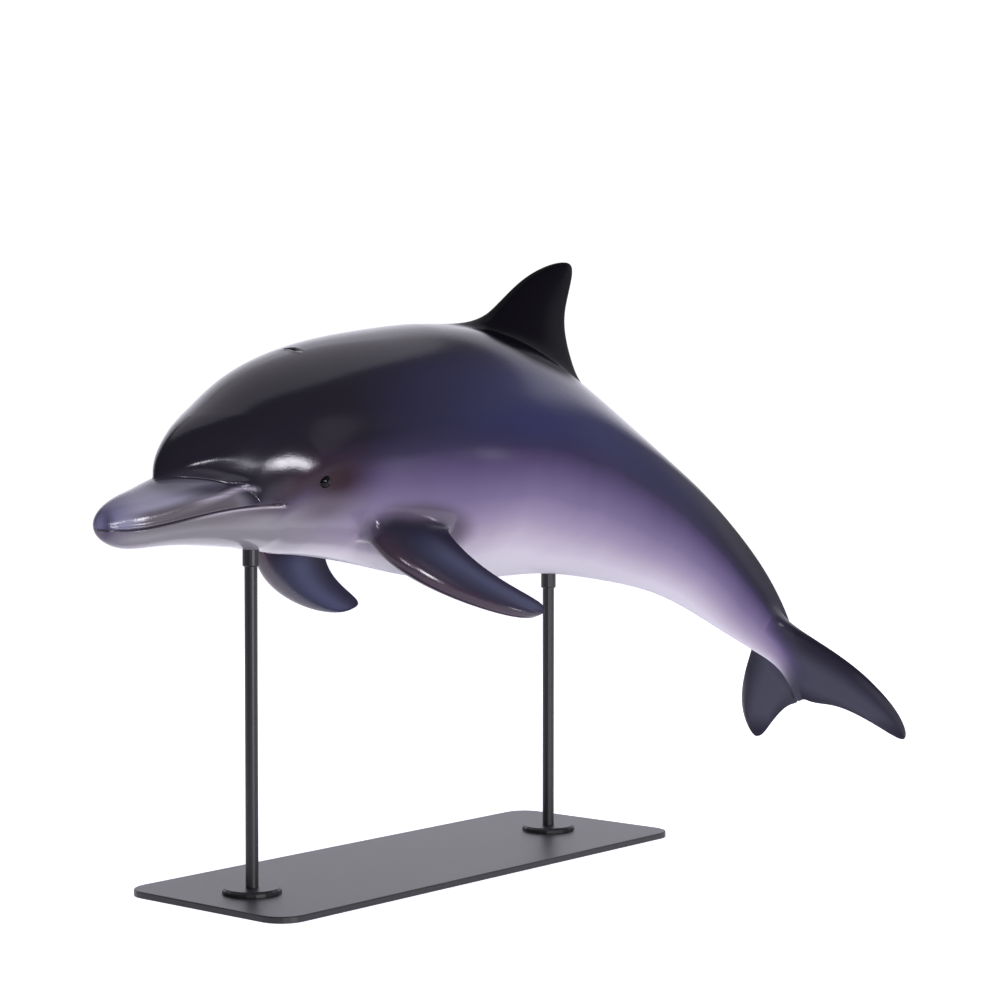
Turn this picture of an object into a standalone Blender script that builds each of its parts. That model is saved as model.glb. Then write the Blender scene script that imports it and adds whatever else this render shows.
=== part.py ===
"""Life-size bottlenose dolphin, leaping, as a painted museum model on a steel display stand.

The body is first worked out straight: a point has a distance along the spine from the tip of
the beak, a side (negative is the animal's left) and a height above the spine. place() then
bends the spine into the leap. Metres, +Z up, head towards -X, floor at z = 0.
"""

import bmesh
import bpy
import numpy as np
from math import pi, radians
from mathutils import Matrix

# Driving dimensions
LENGTH = 2.40            # tip of the beak to the notch of the flukes, along the spine
GAP = 0.0003             # clearance between neighbouring pieces
SIDES = 32               # facets round the body
FIN_SIDES = 20           # facets round a fin

# Pose: how steeply the spine falls towards the tail (degrees) at places along it
SPINE_AT = [0.0, 0.29, 0.60, 0.96, 1.32, 1.68, 2.04, 2.40]
SPINE_FALL = [3, -13.5, -7, 5.5, 16, 22, 32, 60]
TAIL_ROLL = -6.5         # degrees that the flukes are rolled about the spine, left side up
ROLL_FROM, ROLL_TO = 1.60, 2.20
REFERENCE = 1.08         # place along the spine that REFERENCE_POINT gives
REFERENCE_POINT = (0.25, 0.0, 0.785)

# Trunk and cranium: along, height above the spine, depth below it, half-width
TRUNK = np.array([
    [0.07, 0.118, 0.041, 0.049],
    [0.18, 0.142, 0.064, 0.090],
    [0.29, 0.172, 0.098, 0.125],
    [0.40, 0.210, 0.133, 0.160],
    [0.53, 0.233, 0.172, 0.180],
    [0.70, 0.246, 0.217, 0.200],
    [0.86, 0.261, 0.243, 0.209],
    [1.03, 0.258, 0.239, 0.201],
    [1.25, 0.213, 0.200, 0.173],
    [1.49, 0.169, 0.158, 0.137],
    [1.73, 0.150, 0.122, 0.093],
    [1.97, 0.123, 0.112, 0.054],
    [2.16, 0.092, 0.080, 0.032],
    [2.29, 0.052, 0.042, 0.023],
    [2.40, -0.010, 0.030, 0.012]])
KEEL = 0.10              # how far the tail stock's section is drawn out into keels
KEEL_FROM, KEEL_TO = 1.44, 2.04

# Beak: the same four columns, how far back its round nose reaches and the height of its tip
BEAK = np.array([
    [0.000, 0.040, 0.040, 0.027],
    [0.072, 0.052, 0.046, 0.049],
    [0.144, 0.068, 0.050, 0.070],
    [0.240, 0.076, 0.072, 0.092],
    [0.336, 0.073, 0.105, 0.116]])
NOSE = 0.080
NOSE_POWER = 2.15
NOSE_UP = -0.001

# Crease between the beak and the melon: it runs back from the midline to the cheeks
CREASE_TOP = 0.146
CREASE_SIDE = 0.293
CREASE_ANGLE = radians(88)
MELON_RISE = 0.108       # length over which the melon rises out of the crease
CHEEK_TOP, CHEEK_END = radians(68), radians(94)
CREASE_FADE = 0.54       # from here back the rings are square to the spine

# Mouth line: height along the beak, and the gap between the lips
MOUTH_AT = [0.0, 0.08, 0.15, 0.24, 0.30, 0.33]
MOUTH_UP = [-0.006, -0.005, 0.002, 0.004, -0.004, -0.016]
LIP_GAP = 0.0024
LIP_END = 0.327          # corner of the mouth
LIP_INNER, LIP_OUTER = 0.090, 0.150   # how far in and out the slit at each corner is cut

# Eyes and blowhole
EYE_AT, EYE_ANGLE, EYE_RADIUS, EYE_PROUD = 0.407, radians(101), 0.015, 0.0065
BLOWHOLE_AT, BLOWHOLE_ANGLE = 0.507, radians(6)
BLOWHOLE_HALF = (0.003, 0.017, 0.012)

# Fins: control points of the leading and trailing edges (along, side, up), the last one the
# tip, and half the thickness at root and tip
DORSAL_LEAD = [(0.86, 0, 0.233), (1.076, 0, 0.281), (1.018, 0, 0.382), (1.221, 0, 0.473)]
DORSAL_TRAIL = [(1.322, 0, 0.191), (1.171, 0, 0.342), (1.232, 0, 0.356), (1.221, 0, 0.473)]
FLIPPER_LEAD = [(0.523, -0.127, -0.111), (0.482, -0.233, -0.228),
                (0.807, -0.301, -0.332), (0.921, -0.258, -0.301)]
FLIPPER_TRAIL = [(0.726, -0.146, -0.125), (0.748, -0.253, -0.267),
                 (1.023, -0.237, -0.273), (0.921, -0.258, -0.301)]
FLUKE_LEAD = [(2.141, -0.034, 0.020), (2.248, -0.048, 0.005),
              (2.408, -0.262, 0.045), (2.587, -0.205, 0.059)]
FLUKE_TRAIL = [(2.399, -0.002, -0.013), (2.464, -0.055, 0.029),
               (2.407, -0.049, 0.032), (2.587, -0.205, 0.059)]
DORSAL_HALF = (0.036, 0.006)
FLIPPER_HALF = (0.030, 0.006)
FLUKE_HALF = (0.030, 0.006)
TIP_FROM, TIP_END = 0.87, 0.967       # span over which a tip is rounded off
ROOT_DEPTH = 0.05        # how far a fin's root goes into the body before it is cut
FIN_FULLNESS = 0.42      # how much fuller a fin is towards its leading edge

# The right flipper is the left one's mirror image, turned a little at its root: degrees about
# the spine's direction and about the side's
RIGHT_FLIPPER_ROOT = (0.62, 0.135, -0.10)
RIGHT_FLIPPER_TURN = (-3.7, 2.0)

# Where the body is parted, along the spine
NECK, CHEST_END, TRUNK_END, STOCK_END = 0.54, 0.83, 1.44, 2.09

# Display stand
BASE_SIZE = (1.16, 0.42, 0.012)
BASE_CORNER = 0.05
BASE_RIM = 0.002         # bevel round the upper edge
ROD_RADIUS = 0.012
ROD_AT = {"front": 0.345, "rear": 1.30}
ROD_INTO_BODY = 0.05
FLANGE_RADIUS, FLANGE_HEIGHT, FLANGE_BEVEL = 0.055, 0.010, 0.004
SLEEVE_RADIUS, SLEEVE_LENGTH, SLEEVE_BEVEL = 0.0155, 0.030, 0.002
SLEEVE_INTO_BODY = 0.03  # before the sleeve is cut to the body
ROUND_SIDES = 20         # facets round the rods, flanges and sleeves
EYE_SIDES, EYE_BANDS = 14, 8


# ---- Shape of the straight body and its pose

def spline(at, knots, values):
    """Natural cubic spline through values at knots, so that curvature runs on smoothly."""
    knots = np.asarray(knots, float)
    values = np.asarray(values, float)
    step = np.diff(knots)
    inner = np.arange(1, len(knots) - 1)
    matrix = np.eye(len(knots))
    matrix[inner, inner - 1] = step[:-1]
    matrix[inner, inner] = 2 * (step[:-1] + step[1:])
    matrix[inner, inner + 1] = step[1:]
    right = np.zeros(len(knots))
    right[1:-1] = 6 * np.diff(np.diff(values) / step)
    bend = np.linalg.solve(matrix, right)
    at = np.asarray(at, float)
    k = np.clip(np.searchsorted(knots, at) - 1, 0, len(knots) - 2)
    h = step[k]
    a = (knots[k + 1] - at) / h
    b = 1 - a
    return (a * values[k] + b * values[k + 1]
            + ((a ** 3 - a) * bend[k] + (b ** 3 - b) * bend[k + 1]) * h * h / 6)


def ease(x, low, high):
    """0 below low, 1 above high and a smooth S between them."""
    t = np.clip((x - low) / (high - low), 0, 1)
    return t * t * (3 - 2 * t)


def crease(angle):
    """Distance along the spine of the crease between beak and melon, by angle from the top."""
    from_top = np.minimum(angle, 2 * pi - angle)
    return CREASE_TOP + (CREASE_SIDE - CREASE_TOP) * ease(from_top, 0, CREASE_ANGLE)


def section(along, angle):
    """Side and height of the straight body's surface: angle 0 is the back, a quarter turn the left."""
    sine, cosine = np.sin(angle), np.cos(angle)
    above, below, half = (spline(along, TRUNK[:, 0], TRUNK[:, k]) for k in (1, 2, 3))
    keel = -KEEL * ease(along, KEEL_FROM, KEEL_TO)
    trunk_side = -half * (sine + keel * np.sin(3 * angle)) / (1 - keel)
    trunk_up = (above - below) / 2 + (above + below) / 2 * (cosine - keel * np.cos(3 * angle)) / (1 - keel)
    on_beak = np.minimum(along, BEAK[-1, 0])
    above, below, half = (spline(on_beak, BEAK[:, 0], BEAK[:, k]) for k in (1, 2, 3))
    nose = (1 - (1 - np.clip(along / NOSE, 0, 1)) ** NOSE_POWER) ** (1 / NOSE_POWER)
    beak_side = -half * nose * sine
    beak_up = NOSE_UP + nose * ((above - below) / 2 + (above + below) / 2 * cosine - NOSE_UP)
    rise = np.clip((along - crease(angle)) / MELON_RISE, 0, 1)
    cheek = ease(np.minimum(angle, 2 * pi - angle), CHEEK_TOP, CHEEK_END)
    blend = np.sqrt(1 - (1 - rise) ** 2) * (1 - cheek) + ease(rise, 0, 1) * cheek
    return beak_side + (trunk_side - beak_side) * blend, beak_up + (trunk_up - beak_up) * blend


def bend_spine():
    """Angle, x and z of the bent spine at even steps, from the slope's running sum."""
    along = np.linspace(0, LENGTH, 801)
    fall = np.radians(spline(along, SPINE_AT, SPINE_FALL))
    step = along[1] / 2
    x = np.concatenate([[0], np.cumsum((np.cos(fall[1:]) + np.cos(fall[:-1])) * step)])
    z = np.concatenate([[0], -np.cumsum((np.sin(fall[1:]) + np.sin(fall[:-1])) * step)])
    x += REFERENCE_POINT[0] - np.interp(REFERENCE, along, x)
    z += REFERENCE_POINT[2] - np.interp(REFERENCE, along, z)
    return along, fall, x, z


SPINE = bend_spine()


def place(points):
    """Carry points of the straight body (along, side, up) to the leaping one."""
    points = np.asarray(points, float)
    along, side, up = points[..., 0], points[..., 1], points[..., 2]
    at, fall, x, z = SPINE
    roll = radians(TAIL_ROLL) * ease(along, ROLL_FROM, ROLL_TO)
    side, up = side * np.cos(roll) - up * np.sin(roll), side * np.sin(roll) + up * np.cos(roll)
    angle = np.interp(along, at, fall)
    past = along - np.clip(along, 0, LENGTH)
    return np.stack([np.interp(along, at, x) + past * np.cos(angle) + up * np.sin(angle),
                     side,
                     np.interp(along, at, z) - past * np.sin(angle) + up * np.cos(angle)], -1)


def body_point(along, angle):
    """Point of the body's surface."""
    side, up = section(along, angle)
    return place(np.stack([along + 0 * side, side, up], -1))


def ring_along(ring, angle):
    """Place along the spine of a ring: near the crease the rings follow it, and fade to square."""
    fade = np.where(ring < CREASE_TOP, ease(ring, 0, CREASE_TOP),
                    1 - ease(ring, CREASE_TOP + MELON_RISE, CREASE_FADE))
    return ring + (crease(angle) - CREASE_TOP) * fade


def body_rings(rings, grow=0.0):
    """One ring of points for each station in rings, each moved out by grow, square to its ring."""
    angle = np.arange(SIDES) * 2 * pi / SIDES
    ring, angle = np.meshgrid(rings, angle, indexing="ij")
    along = ring_along(ring, angle)
    side, up = section(along, angle)
    step_side = np.roll(side, -1, 1) - np.roll(side, 1, 1)
    step_up = np.roll(up, -1, 1) - np.roll(up, 1, 1)
    size = np.hypot(step_side, step_up)
    return place(np.stack([along, side + grow * step_up / size, up - grow * step_side / size], -1))


def surface_frame(along, angle):
    """Matrix at a point of the body: its axes run along, round and out of the surface."""
    d = 0.004
    here = body_point(along, angle)
    back = body_point(along + d, angle) - here
    round_ = body_point(along, angle + d) - here
    out = np.cross(round_, back)
    out /= np.linalg.norm(out)
    back /= np.linalg.norm(back)
    side = np.cross(out, back)
    frame = Matrix(np.column_stack([back, side, out]).tolist()).to_4x4()
    frame.translation = here
    return frame


def bezier(points, t):
    """Cubic curve from the first control point to the last."""
    p = np.asarray(points, float)
    t = np.asarray(t, float)[:, None]
    return ((1 - t) ** 3 * p[0] + 3 * t * (1 - t) ** 2 * p[1]
            + 3 * t * t * (1 - t) * p[2] + t ** 3 * p[3])


def fin_rings(lead, trail, half, spans):
    """Rings across a fin, straight: a teardrop from leading to trailing edge at each span. Chord
    and thickness close as a quarter circle towards the tip."""
    near_tip = np.minimum(spans, 0.93)
    d = 0.01
    chord = bezier(trail, near_tip) - bezier(lead, near_tip)
    reach = (bezier(lead, near_tip + d) + bezier(trail, near_tip + d)
             - bezier(lead, near_tip) - bezier(trail, near_tip))
    normal = np.cross(chord, reach)
    normal /= np.linalg.norm(normal, axis=1)[:, None]
    close = np.sqrt(1 - np.clip((spans - TIP_FROM) / (TIP_END - TIP_FROM), 0, 1) ** 2)
    middle = (bezier(lead, spans) + bezier(trail, spans)) / 2
    to_rear = close[:, None] * (bezier(trail, spans) - bezier(lead, spans)) / 2
    thick = (half[0] + (half[1] - half[0]) * spans) * close
    theta = np.arange(FIN_SIDES) * 2 * pi / FIN_SIDES
    bulge = np.sin(theta) * (1 + FIN_FULLNESS * np.cos(theta))
    return (middle[:, None] - to_rear[:, None] * np.cos(theta)[None, :, None]
            + normal[:, None] * (thick[:, None] * bulge)[..., None])


def mirrored(points):
    """The same points on the animal's other side."""
    return [(a, -s, u) for a, s, u in points]


def turned_at_root(points):
    """The right flipper's edge: the mirrored one, turned about its root."""
    about, tilt = np.radians(RIGHT_FLIPPER_TURN)
    along, side, up = (np.array(mirrored(points)) - RIGHT_FLIPPER_ROOT).T
    side, up = side * np.cos(about) - up * np.sin(about), side * np.sin(about) + up * np.cos(about)
    along, up = along * np.cos(tilt) + up * np.sin(tilt), up * np.cos(tilt) - along * np.sin(tilt)
    return np.stack([along, side, up], -1) + RIGHT_FLIPPER_ROOT


# ---- Making objects

def new_collection(name):
    collection = bpy.data.collections.new(name)
    bpy.context.scene.collection.children.link(collection)
    return collection


def finish(name, colour, roughness, metallic=0.0):
    """Plain material for one sub-part."""
    material = bpy.data.materials.new(name)
    material.use_nodes = True
    shader = material.node_tree.nodes["Principled BSDF"]
    shader.inputs["Base Color"].default_value = (*colour, 1)
    shader.inputs["Roughness"].default_value = roughness
    shader.inputs["Metallic"].default_value = metallic
    return material


def add_object(name, mesh, collection, material=None):
    thing = bpy.data.objects.new(name, mesh)
    collection.objects.link(thing)
    if material:
        mesh.materials.append(material)
        mesh.shade_smooth()
        mesh.set_sharp_from_angle(angle=radians(35))
    else:
        thing.hide_render = True
        thing.display_type = "WIRE"
    return thing


def mesh_from_bmesh(name, shape):
    bmesh.ops.recalc_face_normals(shape, faces=shape.faces)
    mesh = bpy.data.meshes.new(name)
    shape.to_mesh(mesh)
    shape.free()
    return mesh


def loft(name, rings, start=None, end=None):
    """Closed mesh through rings of points, fanned to a point at each end."""
    count, sides = rings.shape[:2]
    start = rings[0].mean(0) if start is None else start
    end = rings[-1].mean(0) if end is None else end
    shape = bmesh.new()
    verts = [[shape.verts.new(p) for p in ring] for ring in rings.tolist()]
    poles = [shape.verts.new(tuple(start)), shape.verts.new(tuple(end))]
    for i in range(sides):
        j = (i + 1) % sides
        shape.faces.new((poles[0], verts[0][j], verts[0][i]))
        shape.faces.new((poles[1], verts[-1][i], verts[-1][j]))
        for k in range(count - 1):
            shape.faces.new((verts[k][i], verts[k][j], verts[k + 1][j]))
            shape.faces.new((verts[k][i], verts[k + 1][j], verts[k + 1][i]))
    return mesh_from_bmesh(name, shape)


def cut(thing, cutter):
    """Take the cutter's shape out of thing."""
    modifier = thing.modifiers.new("cut_" + cutter.name, "BOOLEAN")
    modifier.operation = "DIFFERENCE"
    modifier.solver = "EXACT"
    modifier.object = cutter
    return thing


def turned(name, profile, collection, material, at):
    """Round piece from an outline of (radius, height) points, closed on itself."""
    shape = bmesh.new()
    verts = [shape.verts.new((r, 0, z)) for r, z in profile]
    closed = all(r > 0 for r, z in profile)
    for a, b in zip(verts, verts[1:] + ([verts[0]] if closed else [])):
        shape.edges.new((a, b))
    mesh = bpy.data.meshes.new(name)
    shape.to_mesh(mesh)
    shape.free()
    thing = add_object(name, mesh, collection, material)
    thing.location = at
    screw = thing.modifiers.new("turn", "SCREW")
    screw.steps = screw.render_steps = ROUND_SIDES
    screw.use_merge_vertices = True
    screw.merge_threshold = 0.00005
    screw.use_normal_calculate = True
    return thing


def rod(name, radius, low, high, x, collection, material=None):
    """Upright cylinder between two heights on the centre plane."""
    shape = bmesh.new()
    bmesh.ops.create_cone(shape, cap_ends=True, segments=ROUND_SIDES, radius1=radius, radius2=radius,
                          depth=high - low, matrix=Matrix.Translation((x, 0, (low + high) / 2)))
    return add_object(name, mesh_from_bmesh(name, shape), collection, material)


def ball(name, radius, frame, half, collection, material=None):
    """Sphere, or an ellipsoid with the half sizes given along the frame's axes."""
    shape = bmesh.new()
    bmesh.ops.create_uvsphere(shape, u_segments=EYE_SIDES, v_segments=EYE_BANDS, radius=radius)
    size = Matrix.Diagonal((half[0], half[1], half[2], 1))
    bmesh.ops.transform(shape, matrix=frame @ size, verts=shape.verts)
    return add_object(name, mesh_from_bmesh(name, shape), collection, material)


def mouth_slab(name, stations, low, high, inner, outer, collection):
    """Cutter that follows the mouth line, from low to high of it and from inner to outer side."""
    line = spline(stations, MOUTH_AT, MOUTH_UP)
    corners = [(inner, low), (inner, high), (outer, high), (outer, low)]
    rings = np.stack([np.stack([stations, side + 0 * line, line + up], -1)
                      for side, up in corners], 1)
    return add_object(name, loft(name, place(rings)), collection)


for old in list(bpy.data.objects):
    bpy.data.objects.remove(old, do_unlink=True)
model = new_collection("bottlenose_dolphin")
cutters = new_collection("cutters")

paint_dark = finish("dark_back_paint", (0.030, 0.030, 0.045), 0.25)
paint_blue = finish("blue_flank_paint", (0.10, 0.09, 0.17), 0.25)
paint_pale = finish("pale_jaw_paint", (0.33, 0.30, 0.34), 0.25)
eye_gloss = finish("black_eye_gloss", (0.004, 0.004, 0.005), 0.05)
stand_black = finish("stand_black_steel", (0.012, 0.012, 0.013), 0.45)

# ---- Beak: its two jaws are one loft parted along the mouth line

BEAK_RINGS = [0.0015, 0.005, 0.011, 0.020, 0.033, 0.050, 0.073, 0.098, 0.123, CREASE_TOP]
beak_end = place([0.24, 0, 0])
beak_rings = body_rings(np.array(BEAK_RINGS))
tip = place([0, 0, -0.001])
stations = np.linspace(-0.03, 0.36, 27)
beyond = 0.30
below = mouth_slab("below_mouth", stations, -beyond, LIP_GAP / 2, -beyond, beyond, cutters)
above = mouth_slab("above_mouth", stations, -LIP_GAP / 2, beyond, -beyond, beyond, cutters)
for name, cutter, paint in (("beak_upper", below, paint_blue), ("beak_lower", above, paint_pale)):
    cut(add_object(name, loft(name, beak_rings, tip, beak_end), model, paint), cutter)

# ---- Head, from the crease back to the neck

MELON_STEPS = np.array([0.003, 0.009, 0.018, 0.032, 0.050, 0.073])
HEAD_RINGS = np.concatenate([CREASE_TOP + MELON_STEPS, [0.25, 0.29, 0.33, 0.38, 0.43, 0.48, NECK - GAP]])
behind = np.array([2 * GAP, 0, 0])
head_rings = np.concatenate([beak_rings[-1:] + behind, body_rings(HEAD_RINGS)])
head = add_object("head", loft("head", head_rings, beak_end + behind), model, paint_dark)
corner = np.linspace(0.20, LIP_END, 12)
for name, side in (("left", -1), ("right", 1)):
    slab = mouth_slab("mouth_corner_" + name, corner, -LIP_GAP / 2, LIP_GAP / 2,
                      side * LIP_INNER, side * LIP_OUTER, cutters)
    cut(head, slab)

# ---- Eyes: glossy balls in sockets of the head

for name, angle in (("left", EYE_ANGLE), ("right", 2 * pi - EYE_ANGLE)):
    frame = surface_frame(EYE_AT, angle)
    frame.translation = frame @ Matrix.Translation((0, 0, EYE_PROUD - EYE_RADIUS)).translation
    socket = ball("socket_" + name, EYE_RADIUS + GAP, frame, (1, 1, 1), cutters)
    cut(head, socket)
    ball("eye_" + name, EYE_RADIUS, frame, (1, 1, 1), model, eye_gloss)

# ---- Blowhole: a slit across the top of the head, a little to the left

blowhole = ball("blowhole_slit", 1.0, surface_frame(BLOWHOLE_AT, BLOWHOLE_ANGLE), BLOWHOLE_HALF, cutters)
cut(head, blowhole)

# ---- Trunk and tail in lengths, each with a copy grown by the clearance that cuts its fins

LENGTHS = {
    "chest": ([NECK, 0.58, 0.62, 0.67, 0.72, 0.78, CHEST_END], paint_dark),
    "trunk": ([CHEST_END, 0.88, 0.94, 1.00, 1.07, 1.14, 1.21, 1.28, 1.36, TRUNK_END], paint_dark),
    "tail_stock": ([TRUNK_END, 1.52, 1.61, 1.70, 1.79, 1.88, 1.97, 2.03, STOCK_END], paint_blue),
    "fluke_centre": ([STOCK_END, 2.14, 2.19, 2.24, 2.29, 2.33, 2.365, LENGTH], paint_dark),
}
head_grown = body_rings(np.append(HEAD_RINGS, NECK + 0.02), GAP)
grown = {"head": add_object("grown_head", loft("grown_head", head_grown), cutters)}
for name, (stations, paint) in LENGTHS.items():
    stations = np.array(stations)
    past_end = GAP if name == "fluke_centre" else 0.02
    wide = np.concatenate([[stations[0] - 0.02], stations, [stations[-1] + past_end]])
    grown[name] = add_object("grown_" + name, loft(name, body_rings(wide, GAP)), cutters)
    stations[0] += GAP
    stations[-1] -= GAP
    add_object(name, loft(name, body_rings(stations)), model, paint)

# ---- Fins: each is a tapering loft from inside the body out to its tip, cut by the body

FIN_SPANS = np.array([0, 0.10, 0.20, 0.32, 0.45, 0.58, 0.70, 0.80, 0.87, 0.92, 0.95, 0.963])


def fin(name, lead, trail, half, carriers, root):
    """Fin cut to the lengths of body that carry it; root moves its inner ring into the body."""
    rings = fin_rings(lead, trail, half, FIN_SPANS)
    rings = np.concatenate([root(rings[:1]), rings])
    tip = (bezier(lead, [TIP_END]) + bezier(trail, [TIP_END]))[0] / 2
    thing = add_object(name, loft(name, place(rings), end=place(tip)), model, paint_dark)
    for carrier in carriers:
        cut(thing, grown[carrier])


fin("dorsal_fin", DORSAL_LEAD, DORSAL_TRAIL, DORSAL_HALF, ["trunk"],
    lambda ring: ring - [0, 0, ROOT_DEPTH])
for name, flipper_way, fluke_way, out in (("left", list, list, -1),
                                          ("right", turned_at_root, mirrored, 1)):
    fin("flipper_" + name, flipper_way(FLIPPER_LEAD), flipper_way(FLIPPER_TRAIL), FLIPPER_HALF,
        ["head", "chest"], lambda ring, out=out: ring + [0, -out * ROOT_DEPTH, ROOT_DEPTH])
    fin("fluke_" + name, fluke_way(FLUKE_LEAD), fluke_way(FLUKE_TRAIL), FLUKE_HALF,
        ["fluke_centre"], lambda ring, out=out: ring * [1, 0, 1] + [0, out * GAP / 2, 0])

# ---- Stand: flat base plate, two rods with foot flanges, and sleeves where they enter the body

shape = bmesh.new()
bmesh.ops.create_cube(shape, size=1, matrix=Matrix.Translation((0, 0, BASE_SIZE[2] / 2))
                      @ Matrix.Diagonal((*BASE_SIZE, 1)))
upright = [e for e in shape.edges if abs(e.verts[0].co.z - e.verts[1].co.z) > BASE_SIZE[2] / 2]
bmesh.ops.bevel(shape, geom=upright, offset=BASE_CORNER, segments=6, affect="EDGES", profile=0.5)
upper = [e for e in shape.edges if min(v.co.z for v in e.verts) > BASE_SIZE[2] * 0.9]
rim = [e for e in upper if len({f.normal.z > 0.9 for f in e.link_faces}) == 2]
bmesh.ops.bevel(shape, geom=rim, offset=BASE_RIM, segments=2, affect="EDGES", profile=0.5)
add_object("stand_base", mesh_from_bmesh("stand_base", shape), model, stand_black)

for name, along in ROD_AT.items():
    foot = body_point(along, pi)
    x, meets = foot[0], foot[2]
    low = BASE_SIZE[2] + GAP
    rod("stand_rod_" + name, ROD_RADIUS, low, meets + ROD_INTO_BODY, x, model, stand_black)
    bore = rod("bore_" + name, ROD_RADIUS + GAP, meets - 0.2, meets + ROD_INTO_BODY + GAP, x, cutters)
    carried = head if name == "front" else bpy.data.objects["trunk"]
    cut(carried, bore)
    inner = ROD_RADIUS + GAP
    flange = [(inner, low + FLANGE_HEIGHT), (inner, low), (FLANGE_RADIUS, low),
              (FLANGE_RADIUS, low + FLANGE_HEIGHT - FLANGE_BEVEL),
              (FLANGE_RADIUS - FLANGE_BEVEL, low + FLANGE_HEIGHT)]
    turned("stand_flange_" + name, flange[::-1], model, stand_black, (x, 0, 0))
    sleeve = [(inner, meets + SLEEVE_INTO_BODY), (inner, meets - SLEEVE_LENGTH),
              (SLEEVE_RADIUS - SLEEVE_BEVEL, meets - SLEEVE_LENGTH),
              (SLEEVE_RADIUS, meets - SLEEVE_LENGTH + SLEEVE_BEVEL),
              (SLEEVE_RADIUS, meets + SLEEVE_INTO_BODY)]
    piece = turned("stand_sleeve_" + name, sleeve[::-1], model, stand_black, (x, 0, 0))
    cut(piece, grown["head" if name == "front" else "trunk"])
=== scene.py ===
"""Life-size bottlenose dolphin, leaping, on its display stand: shell, paint, stand and studio."""
import math

import bpy
import numpy as np
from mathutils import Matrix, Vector


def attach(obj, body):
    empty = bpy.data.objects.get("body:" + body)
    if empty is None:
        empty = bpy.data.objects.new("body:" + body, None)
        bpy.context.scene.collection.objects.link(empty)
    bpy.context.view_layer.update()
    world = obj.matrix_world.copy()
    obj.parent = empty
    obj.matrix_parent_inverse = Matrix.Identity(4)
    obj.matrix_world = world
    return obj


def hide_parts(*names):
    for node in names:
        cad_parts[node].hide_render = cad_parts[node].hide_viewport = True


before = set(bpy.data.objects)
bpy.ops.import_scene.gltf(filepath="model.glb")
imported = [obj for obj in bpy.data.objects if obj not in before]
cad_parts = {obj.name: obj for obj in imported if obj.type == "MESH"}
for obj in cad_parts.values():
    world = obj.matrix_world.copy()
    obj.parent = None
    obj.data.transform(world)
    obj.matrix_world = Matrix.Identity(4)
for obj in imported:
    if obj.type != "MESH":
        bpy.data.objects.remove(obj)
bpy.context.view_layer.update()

# ---- Trunk: the middle of the moulded glass-fibre shell, from the neck to the tail. It is worked
# out straight, along the spine from the beak's tip, with the left side negative, and bent later.
# Each row is a place along the spine, height above it, depth below it and half the width.

TRUNK = np.array([
    [0.07, 0.118, 0.041, 0.049],
    [0.18, 0.142, 0.064, 0.090],
    [0.29, 0.172, 0.098, 0.125],
    [0.40, 0.210, 0.133, 0.160],
    [0.53, 0.233, 0.172, 0.180],
    [0.70, 0.246, 0.217, 0.200],
    [0.86, 0.261, 0.243, 0.209],
    [1.03, 0.258, 0.239, 0.201],
    [1.25, 0.213, 0.200, 0.173],
    [1.49, 0.169, 0.158, 0.137],
    [1.73, 0.150, 0.122, 0.093],
    [1.97, 0.123, 0.112, 0.054],
    [2.16, 0.092, 0.080, 0.032],
    [2.29, 0.052, 0.042, 0.023],
    [2.40, -0.010, 0.030, 0.012]])
LENGTH = TRUNK[-1, 0]
KEEL, KEEL_FROM, KEEL_TO = 0.10, 1.44, 2.04


def spline(at, knots, values):
    """Natural cubic spline: cubic pieces whose slope and curvature agree at every knot."""
    knots, values = np.asarray(knots, float), np.asarray(values, float)
    step = np.diff(knots)
    inner = np.arange(1, len(knots) - 1)
    matrix = np.eye(len(knots))
    matrix[inner, inner - 1] = step[:-1]
    matrix[inner, inner] = 2 * (step[:-1] + step[1:])
    matrix[inner, inner + 1] = step[1:]
    right = np.zeros(len(knots))
    right[1:-1] = 6 * np.diff(np.diff(values) / step)
    bend = np.linalg.solve(matrix, right)
    k = np.clip(np.searchsorted(knots, at) - 1, 0, len(knots) - 2)
    h = step[k]
    a = (knots[k + 1] - at) / h
    b = 1 - a
    return (a * values[k] + b * values[k + 1]
            + ((a ** 3 - a) * bend[k] + (b ** 3 - b) * bend[k + 1]) * h * h / 6)


def ease(x, low, high):
    """Smooth step: 0 up to low, 1 from high on, and t*t*(3-2t) between them."""
    t = np.clip((x - low) / (high - low), 0, 1)
    return t * t * (3 - 2 * t)


def hump(x, centre, width):
    """Bell curve: 1 at the centre, falling as exp(-(distance / width) squared)."""
    return np.exp(-((x - centre) / width) ** 2)


def trunk_section(along, angle):
    """Side and height of the trunk: an ellipse about its own middle height, drawn out into a keel
    above and below on the tail by taking a tenth of its third harmonic away."""
    above, below, half = (spline(along, TRUNK[:, 0], TRUNK[:, k]) for k in (1, 2, 3))
    keel = -KEEL * ease(along, KEEL_FROM, KEEL_TO)
    side = -half * (np.sin(angle) + keel * np.sin(3 * angle)) / (1 - keel)
    up = (above + below) / 2 * (np.cos(angle) - keel * np.cos(3 * angle)) / (1 - keel)
    return side, up + (above - below) / 2


# ---- Beak and melon: the beak is a tube of ellipses with a rounded nose, and the melon swells
# over it behind a sharp crease, which runs from the top of the beak back to both cheeks.

BEAK = np.array([
    [0.000, 0.040, 0.040, 0.027],
    [0.072, 0.052, 0.046, 0.049],
    [0.144, 0.068, 0.050, 0.070],
    [0.240, 0.076, 0.072, 0.092],
    [0.336, 0.073, 0.105, 0.116]])
NOSE, NOSE_POWER, NOSE_UP = 0.080, 2.15, -0.001
CREASE_TOP, CREASE_SIDE, CREASE_ANGLE = 0.146, 0.293, np.radians(88)
MELON_RISE = 0.108
CHEEK_TOP, CHEEK_END = np.radians(68), np.radians(94)


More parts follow.
